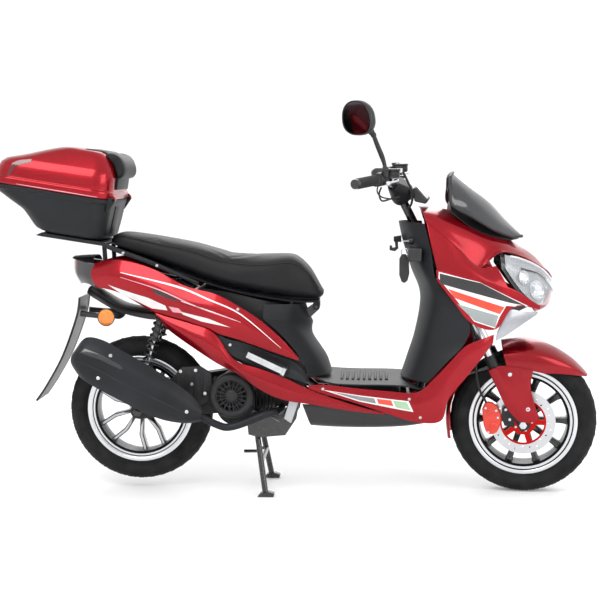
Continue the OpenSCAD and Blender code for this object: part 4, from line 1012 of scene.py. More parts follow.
def treadBlock(name, side, kind, turn):
    # A raised block that follows the tyre's round: its foot lies in the carcass.
    outline = {"wide": [(-3.2, 8), (-1.0, 7), (1.4, 26), (3.6, 47), (2.6, 58), (-1.6, 58), (-1.4, 40),
                        (-2.6, 24)],
               "slim": [(-1.9, 34), (0.2, 33), (1.8, 48), (1.2, 57), (-1.6, 57), (-1.4, 46)]}[kind]
    carcassAt = [(0, 248.8), (17, 247.2), (32, 243.5), (44, 238), (53, 230), (58, 219), (59, 207)]

    def surface(y):
        for (y0, r0), (y1, r1) in zip(carcassAt, carcassAt[1:]):
            if y <= y1:
                return r0 + (r1 - r0) * (y - y0) / (y1 - y0)
        return 207

    points = []
    for raise_ in (-3.0, 1.6):
        for degrees, y in outline:
            a = math.radians(degrees) + turn
            reach = surface(y) + raise_
            shift = 0.6 if raise_ > 0 and y > 50 else 0
            points.append((reach * math.cos(a), side * (y + shift), reach * math.sin(a)))
    n = len(outline)
    faces = [tuple(range(n)), tuple(range(2 * n - 1, n - 1, -1))]
    faces += [(k, n + k, n + (k + 1) % n, (k + 1) % n) for k in range(n)]
    piece = outward(meshObject(name, points, faces))
    work = bmesh.new()
    work.from_mesh(piece.data)
    bmesh.ops.triangulate(work, faces=work.faces[:])
    work.to_mesh(piece.data)
    work.free()
    return settle(piece)


def makeFrontWheel():
    wheel = {"spokes": 10, "tread": 40}
    centre = (775, 0, 248.8)
    barrel = lathe("front_barrel", rimProfile(), turns=144)
    web = [(-13, 30, 12), (-11, 60, 10), (-10, 100, 9), (-12, 136, 11), (-17, 150, 14)]
    rings = []
    for depth, r, half in web:
        ring = [(r, -depth, half), (r, -depth * 1.25, half * 0.4), (r, -depth * 1.25, -half * 0.4),
                (r, -depth, -half), (r, depth, -half), (r, depth * 1.25, -half * 0.4),
                (r, depth * 1.25, half * 0.4), (r, depth, half)]
        rings.append([Vector(p) for p in ring])
    spokes = ringOf(skinOver("front_spoke", rings, edge=1.2), wheel["spokes"], (0, 0, 0), blackEnamel)
    hub = lathe("front_hub", [(8.2, -48), (20, -48), (25, -46), (31, -30), (36, -18), (38, 0), (36, 18),
                              (31, 34),
                              (25, 46), (20, 48), (8.2, 48)], turns=72)
    place = wheelPlace(centre, True)
    dark = settle(joined("front_wheel_black", [spokes, hub]))
    dress(moved(dark, place), blackEnamel, "front_wheel", ["front_rim"])
    dress(moved(barrel, place), frontLip, "front_wheel")
    makeTyre("front_tyre", centre, True, "front_wheel", wheel["tread"])
    spots = [((30 * math.cos(a), -53, 30 * math.sin(a)), (0, -1, 0))
             for a in [k * 2 * math.pi / 5 for k in range(5)]]
    screwed("disc_bolts", spots, "front_wheel", (4.5, 2.6, 1.8), place=place)
    print("front wheel made")


frontLip = makeDialled("frontLip", tuple(middle("front_rim")), [
    (0.0, (0.01, 0.01, 0.011)), (0.1635, (0.6, 0.61, 0.63)), (0.1715, (0.012, 0.012, 0.013)),
    (0.1765, (0.66, 0.67, 0.69))], 0.28)


def makeGuard():
    guard = {"boltScale": 1.15, "legWall": 2.6}
    bodyPanel("guard_top", guardRows, candyRed, "red_paint", body="fork_lower", turned=True, steps=(7, 8),
              replaces=["front_mudguard"])
    bodyPanel("guard_tail", guardTail, candyRed, "red_paint", body="fork_lower", turned=True)
    bodyPanel("guard_leg", guardLeg[::-1], candyRed, "red_paint", body="fork_lower", both=True, turned=True,
              steps=(6, 5), wall=guard["legWall"])
    inner = plate("guard_inner", [(560, 400), (566, 405), (600, 421), (662, 447), (700, 452), (704, 420),
                                  (668, 436)],
                  58, 61, 1)
    dress(moved(mirrored(inner), turnMatrix), blackEnamel, "fork_lower")
    screwed("guard_bolts", sideSpots([(728, 110.8, 424), (790, 111, 306)], True, True), "fork_lower",
            (6.5, 3.2, 2.6), guard["boltScale"])
    print("mudguard made")


def makeCaliper():
    caliper = {"piston": 13, "bolt": (4.6, 3.0, 2.0), "bracketScale": 1.2}
    outer = [(636, 296), (644, 314), (655, 321), (670, 318), (690, 304), (699, 282), (701, 262), (697, 238),
             (688, 216), (674, 209), (660, 208), (648, 222), (641, 242)]
    body = plate("caliper_outer", outer, -80, -60, 4, 3)
    inner = plate("caliper_inner", [(646, 292), (656, 309), (684, 300), (693, 262), (684, 223), (651, 213),
                                    (643, 246)], -46, -35, 3, 3)
    bridge = plate("caliper_bridge", [(646, 292), (656, 310), (670, 304), (661, 280), (657, 250), (661, 218),
                                      (650, 212), (642, 246)], -62, -40, 2, 2)
    bosses = []
    r = caliper["piston"]
    for k, (x, z) in enumerate([(668, 286), (676, 236)]):
        bosses.append(lathe(f"caliper_boss_{k}", [(0.3, -79), (r, -79), (r, -84), (r - 3, -86), (6, -86),
                                                  (5, -84),
                                                  (0.3, -84)], (x, 0, z), 40, closed=False))
    whole = settle(joined("caliper_body", [body, inner, bridge] + bosses))
    dress(moved(whole, turnMatrix), caliperRed, "fork_lower", ["front_caliper"])
    screwed("caliper_bolts", sideSpots([(648, -80, 300), (690, -80, 268), (658, -80, 216),
                                        (684, -80, 292)], True),
            "fork_lower", caliper["bolt"])
    screwed("bracket_bolts", sideSpots([(716, -78, 296), (730, -78, 262)], True),
                                        "fork_lower", caliper["bolt"],
            caliper["bracketScale"])
    pads = plate("caliper_pads", [(660, 300), (690, 288), (694, 240), (666, 226)], -57.5, -54.6, 0.6, 1)
    dress(moved(pads, turnMatrix), blackEnamel, "fork_lower")
    print("caliper made")


makeFrontWheel()
makeGuard()
makeCaliper()


# Rear wheel, guard and lamps.

rearLip = makeDialled("rearLip", tuple(middle("rear_rim")), [
    (0.0, (0.012, 0.012, 0.013)), (0.1655, (0.6, 0.61, 0.63)), (0.1715, (0.03, 0.03, 0.03)),
    (0.1755, (0.66, 0.67, 0.69))], 0.28)


def makeRearWheel():
    wheel = {"pairs": 5, "tread": 40, "faceProud": 1.2}
    centre = (-548, 0, 279)
    barrel = moved(lathe("rear_barrel", rimProfile(), turns=144), wheelPlace(centre, False))
    dress(barrel, rearLip, "rear_wheel", ["rear_rim"])
    arms, faces = [], []
    for side in (-1, 1):
        outline = [(34, side * 3), (92, side * 24), (152, side * 27), (152, side * 41), (88, side * 38),
                   (60, side * 26), (34, side * 16)]
        arms.append(ringOf(plate(f"rear_arm_{side}", outline, -20, 20, 2), wheel["pairs"], (0, 0, 0),
                           blackEnamel))
        trim = [(44, side * 8), (92, side * 27), (149, side * 30), (149, side * 38), (90, side * 35),
                (62, side * 24)]
        for y in (-20 - wheel["faceProud"], 18.8):
            faces.append(ringOf(plate(f"rear_face_{side}_{y}", trim, y, y + 2.4, 0.6, 1), wheel["pairs"],
                                (0, 0, 0), brightSteel))
    hub = lathe("rear_hub", [(8.2, -62), (24, -62), (30, -58), (34, -40), (42, -22), (44, 0), (42, 22),
                             (34, 40),
                             (30, 58), (24, 62), (8.2, 62)], turns=72)
    axle = lathe("rear_axle", [(0.3, -116), (8, -116), (8, 116), (0.3, 116)], turns=36, closed=False)
    dark = settle(joined("rear_wheel_black", arms + [hub, axle]))
    dress(moved(dark, wheelPlace(centre, False)), blackEnamel, "rear_wheel")
    shine = settle(joined("rear_wheel_faces", faces))
    dress(moved(shine, wheelPlace(centre, False)), paintedSilver, "rear_wheel")
    makeTyre("rear_tyre", centre, False, "rear_wheel", wheel["tread"])
    nut = lathe("rear_nut", [(0.3, -128), (9, -128), (14, -125), (14, -117), (17, -116), (0.3, -116)],
                centre, 6, closed=False)
    dress(nut, blackEnamel, "swing_unit")
    print("rear wheel made")


def makeTail():
    tail = {"flapWall": 7, "flapFold": 9, "lampAt": (-651, -106, 604)}
    rows = [across(row) for row in [
        [(-722, -80, 686), (-722, -50, 700), (-722, 0, 704)],
        [(-690, -88, 664), (-690, -66, 684), (-690, 0, 690)],
        [(-610, -94, 622), (-610, -72, 640), (-610, 0, 646)],
        [(-520, -62, 594), (-520, -58, 620), (-520, 0, 626)],
        [(-440, -62, 590), (-440, -56, 610), (-440, 0, 616)]]]
    guard = panel("rear_guard", rows)
    flapRows = [[(x0, y, z0) for y in (-86, -80, 0, 80, 86)] for x0, z0 in
                [(-752, 668), (-764, 600), (-812, 470), (-868, 368), (-906, 312)]]
    for row in flapRows:
        for end in (0, -1):
            row[end] = (row[end][0] + tail["flapFold"], row[end][1], row[end][2])
    flap = panel("rear_flap", [row[::-1] for row in flapRows], wall=tail["flapWall"], edge=2)
    stalks = mirrored(tube("lamp_stalk", [(-744, -68, 612), (-700, -84, 608), (-662, -98, 605),
                                          (-651, -108, 604)], [11, 9, 9, 12], 18, 4))
    whole = settle(joined("rear_guard_parts", [stalks, flap, guard]))
    dress(whole, satinPlastic, "frame", ["rear_mudguard"])
    shell = lathe("signal_shell", [(0.3, 0), (24, 0), (29, -3), (30, -9), (28, -10), (25, -6), (0.3, -5)],
                  tail["lampAt"], 48, closed=False)
    lens = lathe("signal_lens", [(0.3, -13.6), (10, -13.4), (20, -12.6), (26.5, -10.5), (28, -8), (27, -5),
                                 (0.3, -5)], tail["lampAt"], 48, closed=False)
    dress(mirrored(shell), satinPlastic, "frame")
    dress(mirrored(lens), amberLens, "frame", ["indicators"])
    print("tail made")


def makeRack():
    rack = {"half": 148, "foot": 8}
    deck = plate("rack_deck", [(-882, 885), (-862, 894), (-664, 863), (-648, 857), (-648, 848), (-864, 881)],
                 -rack["half"], rack["half"], 3)
    rails = mirrored(tube("rack_rail", [(-652, -142, 853), (-610, -142, 836), (-540, -142, 811),
                                        (-480, -142, 789), (-400, -142, 753), (-332, -142, 724)],
                          [8, 8, 8, 7, 6], 16, 5))
    feet = mirrored(tube("rack_foot", [(-656, -86, 783), (-658, -86, 820), (-660, -86, 852)], rack["foot"], 16,
                         3))
    whole = settle(joined("rack", [deck, rails, feet]))
    dress(whole, darkPlastic, "frame", ["luggage_rack"])
    screwed("rack_screws", sideSpots([(-584, 150, 826), (-470, 150, 784)], both=True), "frame")
    print("rack made")


# Exhaust, fan cover and engine details.

def makeExhaust():
    exhaust = {"around": 40, "header": 13, "guardWall": 2.5, "slotLift": 0.8, "creaseLift": 1.4}
    # Stations along the silencer: the middle's x and z, and the radius.
    can = [(-326, 281, 18), (-345, 290, 30), (-380, 306, 46), (-440, 337, 57), (-520, 378, 61),
           (-620, 430, 62),
           (-690, 466, 62), (-722, 482, 57), (-738, 491, 44)]
    upward = Vector((0.455, 0, 0.89))
    rings = []
    for x, z, r in can:
        ring = []
        for k in range(exhaust["around"]):
            a = 2 * math.pi * k / exhaust["around"]
            ring.append(Vector((x, -170, z)) + r * math.cos(a) * Vector((0, -1, 0)) + r * math.sin(a) * upward)
        rings.append(ring)
    silencer = skinOver("silencer", rings, edge=2)
    header = tube("header", [(-56, -47, 289), (-62, -100, 286), (-100, -156, 284), (-215, -160, 240),
                             (-275, -166, 250), (-370, -170, 303)], exhaust["header"], 20, 6)
    bracket = plate("silencer_bracket", [(-470, 300), (-470, 330), (-430, 330), (-430, 300)], -112, -98.4)
    whole = settle(joined("exhaust_parts", [silencer, header, bracket]))
    dress(whole, heatBlack, "swing_unit", ["exhaust"])
    guardRowsAt = [
        [(-748, -196, 444), (-752, -216, 466), (-748, -216, 486), (-738, -194, 504)],
        [(-718, -212, 410), (-724, -235, 448), (-718, -236, 500), (-702, -204, 544)],
        [(-662, -214, 374), (-664, -238, 424), (-658, -239, 492), (-646, -204, 536)],
        [(-594, -212, 338), (-590, -238, 388), (-584, -238, 452), (-576, -204, 498)],
        [(-518, -208, 298), (-512, -236, 346), (-504, -236, 408), (-496, -202, 452)],
        [(-446, -204, 270), (-440, -230, 304), (-432, -230, 364), (-424, -200, 406)],
        [(-376, -196, 258), (-374, -218, 278), (-366, -218, 320), (-358, -196, 358)],
        [(-322, -186, 262), (-320, -198, 274), (-316, -198, 292), (-314, -186, 306)]]
    shell = panel("heat_guard", guardRowsAt[::-1], steps=(6, 6), wall=exhaust["guardWall"], edge=1.2)
    dress(shell, heatBlack, "swing_unit")
    slot = [(-716, 500), (-700, 512), (-640, 490), (-580, 456), (-572, 446), (-582, 444), (-646, 474),
            (-708, 496)]
    filmOn("heat_guard_slot", shell, slot, blackFilm, "swing_unit", exhaust["slotLift"], 6,
           both=False)
    ridge = [(-728, 470), (-690, 458), (-600, 412), (-500, 362), (-420, 322), (-360, 292)]
    filmOn("heat_guard_crease", shell, stripe(ridge, [3, 7, 7, 6, 2]), castBlack, "swing_unit",
           exhaust["creaseLift"], 6, both=False)
    screwed("heat_guard_screws", onFace(shell, [(-616, 488), (-657, 414), (-364, 300)], (-1,)), "swing_unit",
            (6.5, 3.4, 2.6))
    print("exhaust made")


def makeEngine():
    engine = {"fanSlots": 18, "fanLugs": 6, "fins": 6, "screw": (6.4, 3.2, 2.6)}
    at = (-221, 0, 342)
    dome = lathe("fan_shell", [(76, -98.6), (76, -142), (74, -147), (69, -150), (62, -151.5), (54, -150),
                               (52, -146), (50, -146), (50, -143), (56, -141), (70, -139),
                               (73, -98.6)], at, 96)
    cap = lathe("fan_cap", [(0.3, -151), (12, -150.6), (19, -149), (22, -146), (22, -142),
                            (0.3, -142)], at, 60,
                closed=False)
    rib = plate("fan_rib", [(20, -1.5), (52, -2.4), (52, 2.4), (20, 1.5)], -148.5, -142, 0.8, 2)
    ribs = ringOf(rib, engine["fanSlots"], (0, 0, 0), castBlack)
    moved(ribs, Matrix.Translation(Vector(at) * milli))
    ringed = lathe("fan_ring", [(35, -149.4), (38, -149.4), (38, -143), (35, -143)], at, 72)
    lugs = []
    for k in range(engine["fanLugs"]):
        a = 2 * math.pi * (k + 0.3) / engine["fanLugs"]
        spot = (at[0] + 76 * math.cos(a), 0, at[2] + 76 * math.sin(a))
        lugs.append(lathe(f"fan_lug_{k}", [(0.3, -122), (8, -122), (9, -120), (9, -99), (0.3, -99)], spot, 20,
                          closed=False))
    whole = settle(joined("fan_housing", [dome, cap, ribs, ringed] + lugs))
    dress(whole, castBlack, "swing_unit", ["fan_cover"])
    casing = plate("engine_casing", [(-440, 318), (-430, 392), (-396, 434), (-330, 438), (-292, 414),
                                     (-286, 360),
                                     (-300, 320), (-340, 296), (-400, 292)], -110, -97, 5, 3)
    ribsSide = [block(f"casing_rib_{k}", (-410 + 28 * k, -114, 330), (-404 + 28 * k, -108, 410), 1.5, 2)
                for k in range(4)]
    dress(settle(joined("engine_side", [casing] + ribsSide)), castAlloy, "swing_unit")
    screwed("engine_screws", sideSpots([(-398, -110, 420), (-346, -110, 424), (-360, -110, 376),
                                        (-315, -110, 345), (-420, -110, 330)]), "swing_unit", engine["screw"])
    fin = plate("head_fin", [(-145, 276), (-141, 276), (-141, 394), (-145, 394)], -62, 62, 1.2, 2)
    dress(rowOf(fin, engine["fins"], (13, 0, 0), castAlloy), castAlloy, "swing_unit")
    cover = plate("belt_cover_face", stadium((-217, 335), 52, (-430, 306), 42), 141, 146, 3, 3)
    spots = [(x, 134, z) for x, z in [(-160, 372), (-150, 310), (-210, 398), (-300, 386), (-400, 368),
                                      (-490, 346), (-592, 300), (-560, 240), (-440, 246), (-330, 254),
                                      (-240, 270)]]
    screwed("cover_screws", sideSpots(spots), "swing_unit", engine["screw"])
    dress(cover, castBlack, "swing_unit")
    plateBlank = plate("data_plate", [(-24, 330), (6, 320), (-20, 246), (-44, 262)], -122, -118.4, 1)
    dress(plateBlank, paintedSilver, "frame")
    print("engine made")


def makeSprings():
    spring = {"turns": 9.0, "radius": 19.0, "wire": 3.6}
    top, foot = Vector((-450, 0, 665)), Vector((-528, 0, 400))
    line = foot - top
    along = line.normalized()
    for side, word in ((-1, "right"), (1, "left")):
        coil = newObject("shock_spring_" + word, bpy.data.meshes.new("coil"))
        grow(coil, coilTree, blackEnamel, Turns=spring["turns"], Radius=spring["radius"] * milli - 0.0022,
             Height=(line.length - 84) * milli, Wire=spring["wire"] * milli)
        lean = along.to_track_quat("-Z", "Y").to_matrix().to_4x4()
        seat = top + Vector((0, side * 84, 0)) + along * (line.length - 42)
        moved(coil, Matrix.Translation(seat * milli) @ lean)
        dress(coil, blackEnamel, "shock_upper", ["shock_springs"] if side > 0 else [])
        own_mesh(coil)
    print("springs made")


makeRearWheel()
makeTail()
makeRack()
makeExhaust()
makeEngine()
makeSprings()


# Top box.

boxPlace = Matrix.Translation(Vector((-612, 0, 1002)) * milli) @ Matrix.Rotation(math.radians(9), 4, "Y")


def roundedLoop(x0, x1, w, z, r, corner=9):
    spots = []
    for cx, cy, start in [(x1 - r, w - r, 0), (x0 + r, w - r, 90), (x0 + r, r - w, 180), (x1 - r, r - w, 270)]:
        for k in range(corner):
            a = math.radians(start + 90 * k / (corner - 1))
            spots.append(Vector((cx + r * math.cos(a), cy + r * math.sin(a), z)))
    return spots


def bowlOver(name, loops, wall, edge=1.0):  # shell over stacked loops, closed at the last one
    n = len(loops[0])
    faces = [(i * n + k, i * n + (k + 1) % n, (i + 1) * n + (k + 1) % n, (i + 1) * n + k)
             for i in range(len(loops) - 1) for k in range(n)]
    faces.append(tuple(range((len(loops) - 1) * n, len(loops) * n)))
    piece = meshObject(name, [p for loop in loops for p in loop], faces)
    work = bmesh.new()
    work.from_mesh(piece.data)
    bmesh.ops.recalc_face_normals(work, faces=work.faces)
    centre = sum((v.co for v in work.verts), Vector()) / len(work.verts)
    side = work.faces[n // 2]
    if (side.calc_center_median() - centre).dot(side.normal) < 0:
        bmesh.ops.reverse_faces(work, faces=work.faces[:])
    work.to_mesh(piece.data)
    work.free()
    thicken(piece, wall)
    soften(piece, edge)
    return settle(piece, 50)


def makeBox():
    box = {"wall": 3.2, "knuckle": 10, "lug": 6}
    lidLoops = [roundedLoop(x0, x1, w, z, r) for x0, x1, w, z, r in [
        (-419, -6, 203, 0.6, 72), (-421, -5, 204.5, 4, 73), (-421, -5, 204.5, 20, 73), (-419, -6, 203, 24, 72),
        (-413, -9, 199, 25.5, 70), (-411, -10, 198, 29, 70), (-413, -10, 199, 33, 70),
        (-409, -11, 197.5, 52, 69), (-400, -12, 194.5, 72, 67), (-384, -14, 189, 86, 65),
        (-358, -17, 183, 95.5, 63), (-322, -22, 175, 107, 58), (-284, -30, 165, 122, 54),
        (-246, -41, 154, 136.5, 49), (-214, -53, 145, 147, 44), (-196, -63, 136, 151.5, 39),
        (-184, -72, 126, 153, 33)]]
    lid = moved(bowlOver("lid_shell", lidLoops, box["wall"]), boxPlace)
    knuckles = []
    for y in (153, -163):
        knuckles.append(plate(f"lid_knuckle_{y}", [(-30, 11), (-30, 17), (-4, 17), (5, 9), (6, -2), (0, -6),
                                                   (-6, -2), (-6, 8), (-10, 11)],
                              y, y + box["knuckle"], 1.5, 2))
    knuckle = moved(joined("lid_knuckles", knuckles), boxPlace)
    whole = settle(joined("lid", [lid, knuckle]), 45)
    dress(whole, candyRed, "box_lid", ["box_lid"])
    reflector = [(-962, 1088), (-944, 1128), (-920, 1137), (-880, 1141), (-884, 1130), (-916, 1123),
                 (-938, 1112), (-951, 1088)]
    filmOn("lid_reflector", whole, reflector, darkRedLens, "box_lid", 1.0, 8)
    # The thin pink film stripe along the lower edge of the red lid is a painted highlight where the rim
    # catches the light.
    shine = [(-930, 1058), (-800, 1037), (-660, 1014)]
    filmOn("lid_seam", whole, stripe(shine, [1.5, 3, 1.5]), pinkFilm, "box_lid", 0.4, 8)
    baseLoops = [roundedLoop(x0, x1, w, z, r) for x0, x1, w, z, r in [
        (-415, -6, 200, -1.5, 71), (-416, -6, 200.5, -5, 71), (-415, -6, 200, -16, 71),
        (-409, -8, 196.5, -19, 69),
        (-400, -9, 195, -26, 68), (-356, -10.5, 190.5, -50, 65), (-313, -12.5, 186.5, -72, 61),
        (-304, -13, 184, -78, 60), (-284, -14.5, 176, -100, 58), (-266, -16, 167, -122, 56),
        (-256, -19, 162.5, -131, 54), (-240, -26, 155, -138, 52), (-226, -34, 147, -141, 48)]]
    base = moved(bowlOver("base_shell", baseLoops, box["wall"]), boxPlace)
    lugs = []
    for y in (146, 164, -152, -170):
        lugs.append(plate(f"base_lug_{y}", [(-20, -40), (-20, 7), (-7, 7), (2, 6), (6, 0), (2, -6),
                                            (-14, -40)],
                          y, y + box["lug"], 1.2, 2))
    column = plate("base_column", [(-12, -20), (-6, -24), (-8, -66), (-14, -120),
                                   (-24, -118)], -60, 60, 2.5, 2)
    pins = [lathe(f"hinge_pin_{y}", [(0.3, y - 12), (3.4, y - 12), (3.4, y + 12), (0.3, y + 12)], turns=24,
                  closed=False) for y in (158, -158)]
    shelf = plate("base_foot", [(-226, -141), (-222, -147), (-56, -147), (-40, -139)], -120, 120, 3, 2)
    extras = moved(joined("base_extras", lugs + [column, shelf] + pins), boxPlace)
    whole = settle(joined("box_tub", [base, extras]), 45)
    dress(whole, darkPlastic, "frame", ["box_base"])
    lockPlate = moved(plate("box_lock", [(-426, -12), (-426, 14), (-421, 16), (-419, -14)], -26, 26, 2, 2),
                      boxPlace)
    dress(lockPlate, satinPlastic, "box_lid")
    print("top box made")


def swell(piece, free, pressure, most):  # the free part puffs up as cloth does, by no more than most
    scene = bpy.context.scene
    remesh = piece.modifiers.new("remesh", "REMESH")
    remesh.mode = "VOXEL"
    remesh.voxel_size = 0.005
    settle(piece, 180)
    start = [v.co.copy() for v in piece.data.vertices]
    held = piece.vertex_groups.new(name="held")
    held.add([v.index for v in piece.data.vertices if not free(v)], 1.0, "REPLACE")
    cloth = piece.modifiers.new("cloth", "CLOTH")
    cloth.settings.vertex_group_mass = "held"
    cloth.settings.quality = 6
    cloth.settings.mass = 0.3
    cloth.settings.tension_stiffness = 15
    cloth.settings.compression_stiffness = 15
    cloth.settings.bending_stiffness = 2
    cloth.settings.use_pressure = True
    cloth.settings.uniform_pressure_force = pressure
    cloth.settings.effector_weights.gravity = 0
    cloth.point_cache.frame_start = 1
    cloth.point_cache.frame_end = 20
    for k in range(1, 21):
        scene.frame_set(k)
    settle(piece, 180)
    scene.frame_set(1)
    shift = 0.0
    for v, at in zip(piece.data.vertices, start):
        way = v.co - at
        shift = max(shift, way.length)
        if way.length > most:
            v.co = at + way * (most / way.length)
    print(piece.name, "moved at most", round(shift * 1000, 1), "mm in the cloth run")
    piece.vertex_groups.clear()
    finer = piece.modifiers.new("finer", "SUBSURF")
    finer.levels = 1
    return settle(piece, 180)


seatLine = [(-640, 60, 852, 872), (-625, 92, 842, 888), (-588, 112, 828, 893), (-480, 124, 790, 875),
            (-358, 131, 748, 852), (-285, 138, 722, 828), (-221, 141, 704, 813), (-148, 141, 688, 809),
            (-91, 135, 678, 812), (-31, 121, 668, 818), (3, 107, 664, 806), (42, 92, 662, 767),
            (72, 70, 664, 712),
            (86, 44, 674, 694)]


def hoop(x, half, low, high, count=48, shrink=0.0):
    ring = []
    for k in range(count):
        a = 2 * math.pi * k / count
        c, s = math.cos(a), math.sin(a)
        ring.append(Vector((x, (half - shrink) * math.copysign(abs(c) ** 0.62, c), (low + high) / 2
                            + ((high - low) / 2 - shrink) * math.copysign(abs(s) ** 0.62, s))))
    return ring


def seatStations(steps):
    pairs = smoothLine([(s[0], s[1], s[2]) for s in seatLine], steps)
    tops = smoothLine([(s[0], s[1], s[3]) for s in seatLine], steps)
    return [(p.x, p.y, p.z, q.z) for p, q in zip(pairs, tops)]


def makeSeat():
    seat = {"slack": 3.0, "pressure": 0.9, "most": 0.009, "piping": 2.4}
    stations = seatStations(5)
    cushion = skinOver("seat_foam", [hoop(*s, shrink=seat["slack"]) for s in stations])
    swell(cushion, lambda v: v.normal.z > -0.2 and v.co.z > 0.66, seat["pressure"], seat["most"])
    dress(cushion, seatVinyl, "seat", ["seat_cushion"])
    pipes = []
    a = math.radians(32)
    for side in (-1, 1):
        line = []
        for x, half, low, high in stations[4:-4:2]:
            near = Vector((x, side * half * math.cos(a) ** 0.62,
                           (low + high) / 2 + (high - low) / 2 * math.sin(a) ** 0.62))
            line.append(cushion.closest_point_on_mesh(near * milli)[1] / milli)
        pipes.append(tube(f"seat_pipe_{side}", line, seat["piping"], 10, 2))
    dress(settle(joined("seat_seams", pipes)), seatVinyl, "seat")
    print("seat made")


def makePad():
    pad = {"pressure": 120.0, "most": 0.006}
    side = [(-52, 153), (-30, 154), (-10, 148), (6, 128), (17, 104), (16, 84), (6, 73), (-7, 78), (-18, 104),
            (-32, 124), (-56, 142)]
    loop = smoothLoop([(x, 0, z) for x, z in side], 3)
    centre = sum(loop, Vector()) / len(loop)
    rings = []
    for y, scale in [(-131, 0.45), (-130, 0.72), (-126, 0.9), (-116, 0.98), (-90, 1), (-45, 1), (0, 1),
                     (45, 1),
                     (90, 1), (116, 0.98), (126, 0.9), (130, 0.72), (131, 0.45)]:
        rings.append([centre + (p - centre) * scale + Vector((0, y, 0)) for p in loop])
    cushion = moved(skinOver("back_pad", rings), boxPlace)
    swell(cushion, lambda v: v.normal.x > 0.0 or v.normal.z > 0.6, pad["pressure"], pad["most"])
    dress(cushion, seatVinyl, "box_lid", ["box_pad"])
    face = moved(block("lid_face", (-12, -108, 34), (-3, 108, 92), 2.5), boxPlace)
    dress(face, darkPlastic, "box_lid")
    inset = moved(plate("lid_inset", [(-130, 151), (-126, 156.5), (-64, 156.5), (-46, 150), (-24, 128),
                                      (-16, 96),
                                      (-26, 96), (-60, 140)], -112, 112, 3, 2), boxPlace)
    dress(inset, darkPlastic, "box_lid")
    print("back pad made")


makeBox()
makeSeat()
makePad()


# Handlebar, mirror and cables.

barBend, gripOut = Vector((318, 165, 1086)), Vector((228, 345, 1075))
gripIn = barBend + 0.35 * (gripOut - barBend)
barWay = (gripOut - barBend).normalized()


def alongBar(at):
    return Matrix.Translation(at * milli) @ barWay.to_track_quat("Z", "X").to_matrix().to_4x4()


def onRightBar(piece, side):  # the bars are made on the left, and the right-hand twin is its mirror picture
    return moved(piece, sideMirror) if side < 0 else piece


def makeGrips():
    grip = {"ribs": 22, "ribStep": 4.6}
    length = (gripOut - gripIn).length * 0.89 - 3
    for side, node, body in ((-1, "throttle_grip", "throttle"), (1, "left_grip", "steering")):
        profile = [(11.1, 1.5), (20, 1.5), (21.4, 3), (21.4, 6), (19, 8), (17, 10)]
        z = 13.0
        for k in range(grip["ribs"]):
            profile += [(16.4, z), (17.7, z + 0.7), (17.7, z + 2.6), (16.4, z + 3.3)]
            z += grip["ribStep"]
        profile += [(17.2, length - 6), (17.8, length - 4), (17.8, length), (15.5, length + 1.5),
                    (11.1, length + 1.5)]
        profile = [(r, h) for r, h in profile if h <= length + 1.6]
        piece = lathe(node + "_rubber", profile, turns=56, axis="Z")
        onRightBar(moved(piece, alongBar(gripIn)), side)
        dress(moved(piece, turnMatrix), gripRubber, body, [node])
        weight = lathe(node + "_end", [(0.3, 0.5), (14, 0.5), (16.2, 2), (16.6, 8), (15, 12.5), (9, 13),
                                       (7, 11),
                                       (0.3, 11)], turns=40, closed=False, axis="Z")
        onRightBar(moved(weight, alongBar(gripOut - 13.2 * barWay)), side)
        dress(moved(weight, turnMatrix), blackEnamel, "steering")
    print("grips made")


def makeControls():
    control = {"body": 22, "screw": (3.4, 1.8, 1.4)}
    parts = []
    for side in (-1, 1):
        span = (gripIn - barBend).length - 26
        r = control["body"]
        switch = lathe(f"switch_{side}", [(11.4, 0), (r - 2, 0), (r + 0.5, 2), (r + 1, 8), (r, 9), (r, 10.5),
                                          (r + 1, 11.5), (r + 0.5, span - 3), (r - 2, span), (11.4, span)],
                       turns=48, axis="Z")
        moved(switch, alongBar(barBend + 24 * barWay))
        tank = block(f"tank_{side}", (317, 161, 1088), (359, 197, 1110), 4)
        lidPlate = block(f"tank_lid_{side}", (315, 159, 1110), (361, 199, 1117), 2.5)
        perch = block(f"perch_{side}", (324, 166, 1066), (352, 198, 1074), 2)
        arm = block(f"perch_top_{side}", (324, 178, 1087), (351, 198, 1092), 2)
        nut = lathe(f"mirror_nut_{side}", [(5, 1110), (13, 1110), (14.5, 1112), (14.5, 1117), (13, 1119),
                                           (5, 1119)], (314, 212, 0), 6, axis="Z")
        boss = lathe(f"mirror_boss_{side}", [(5, 1092), (12, 1092), (12, 1111), (5, 1111)], (314, 212, 0), 36,
                     axis="Z")
        parts += [onRightBar(piece, side) for piece in (switch, tank, lidPlate, perch, arm, nut, boss)]
    whole = settle(joined("switch_housings", parts))
    dress(moved(whole, turnMatrix), satinPlastic, "steering", ["brake_masters"])
    spots = [(turnMatrix @ (Vector((x, side * y, 1117)) * milli) / milli, (0, 0, 1)) for side in (-1, 1)
             for x, y in [(323, 165), (353, 193)]]
    screwed("tank_screws", spots, "steering", control["screw"])
    dial = plate("dial_housing", [(392, 1040), (398, 1048), (408, 1049), (426, 1028), (446, 1003), (440, 994),
                                  (402, 1002)], -84, 84, 5)
    lens = plate("dial_lens", [(402, 1047.6), (409, 1051), (428, 1028), (442, 1008), (436, 1006)], -68, 68, 2)
    dress(moved(dial, turnMatrix), satinPlastic, "steering", ["instrument_panel"])
    dress(moved(lens, turnMatrix), smokedLens, "steering")
    print("controls made")


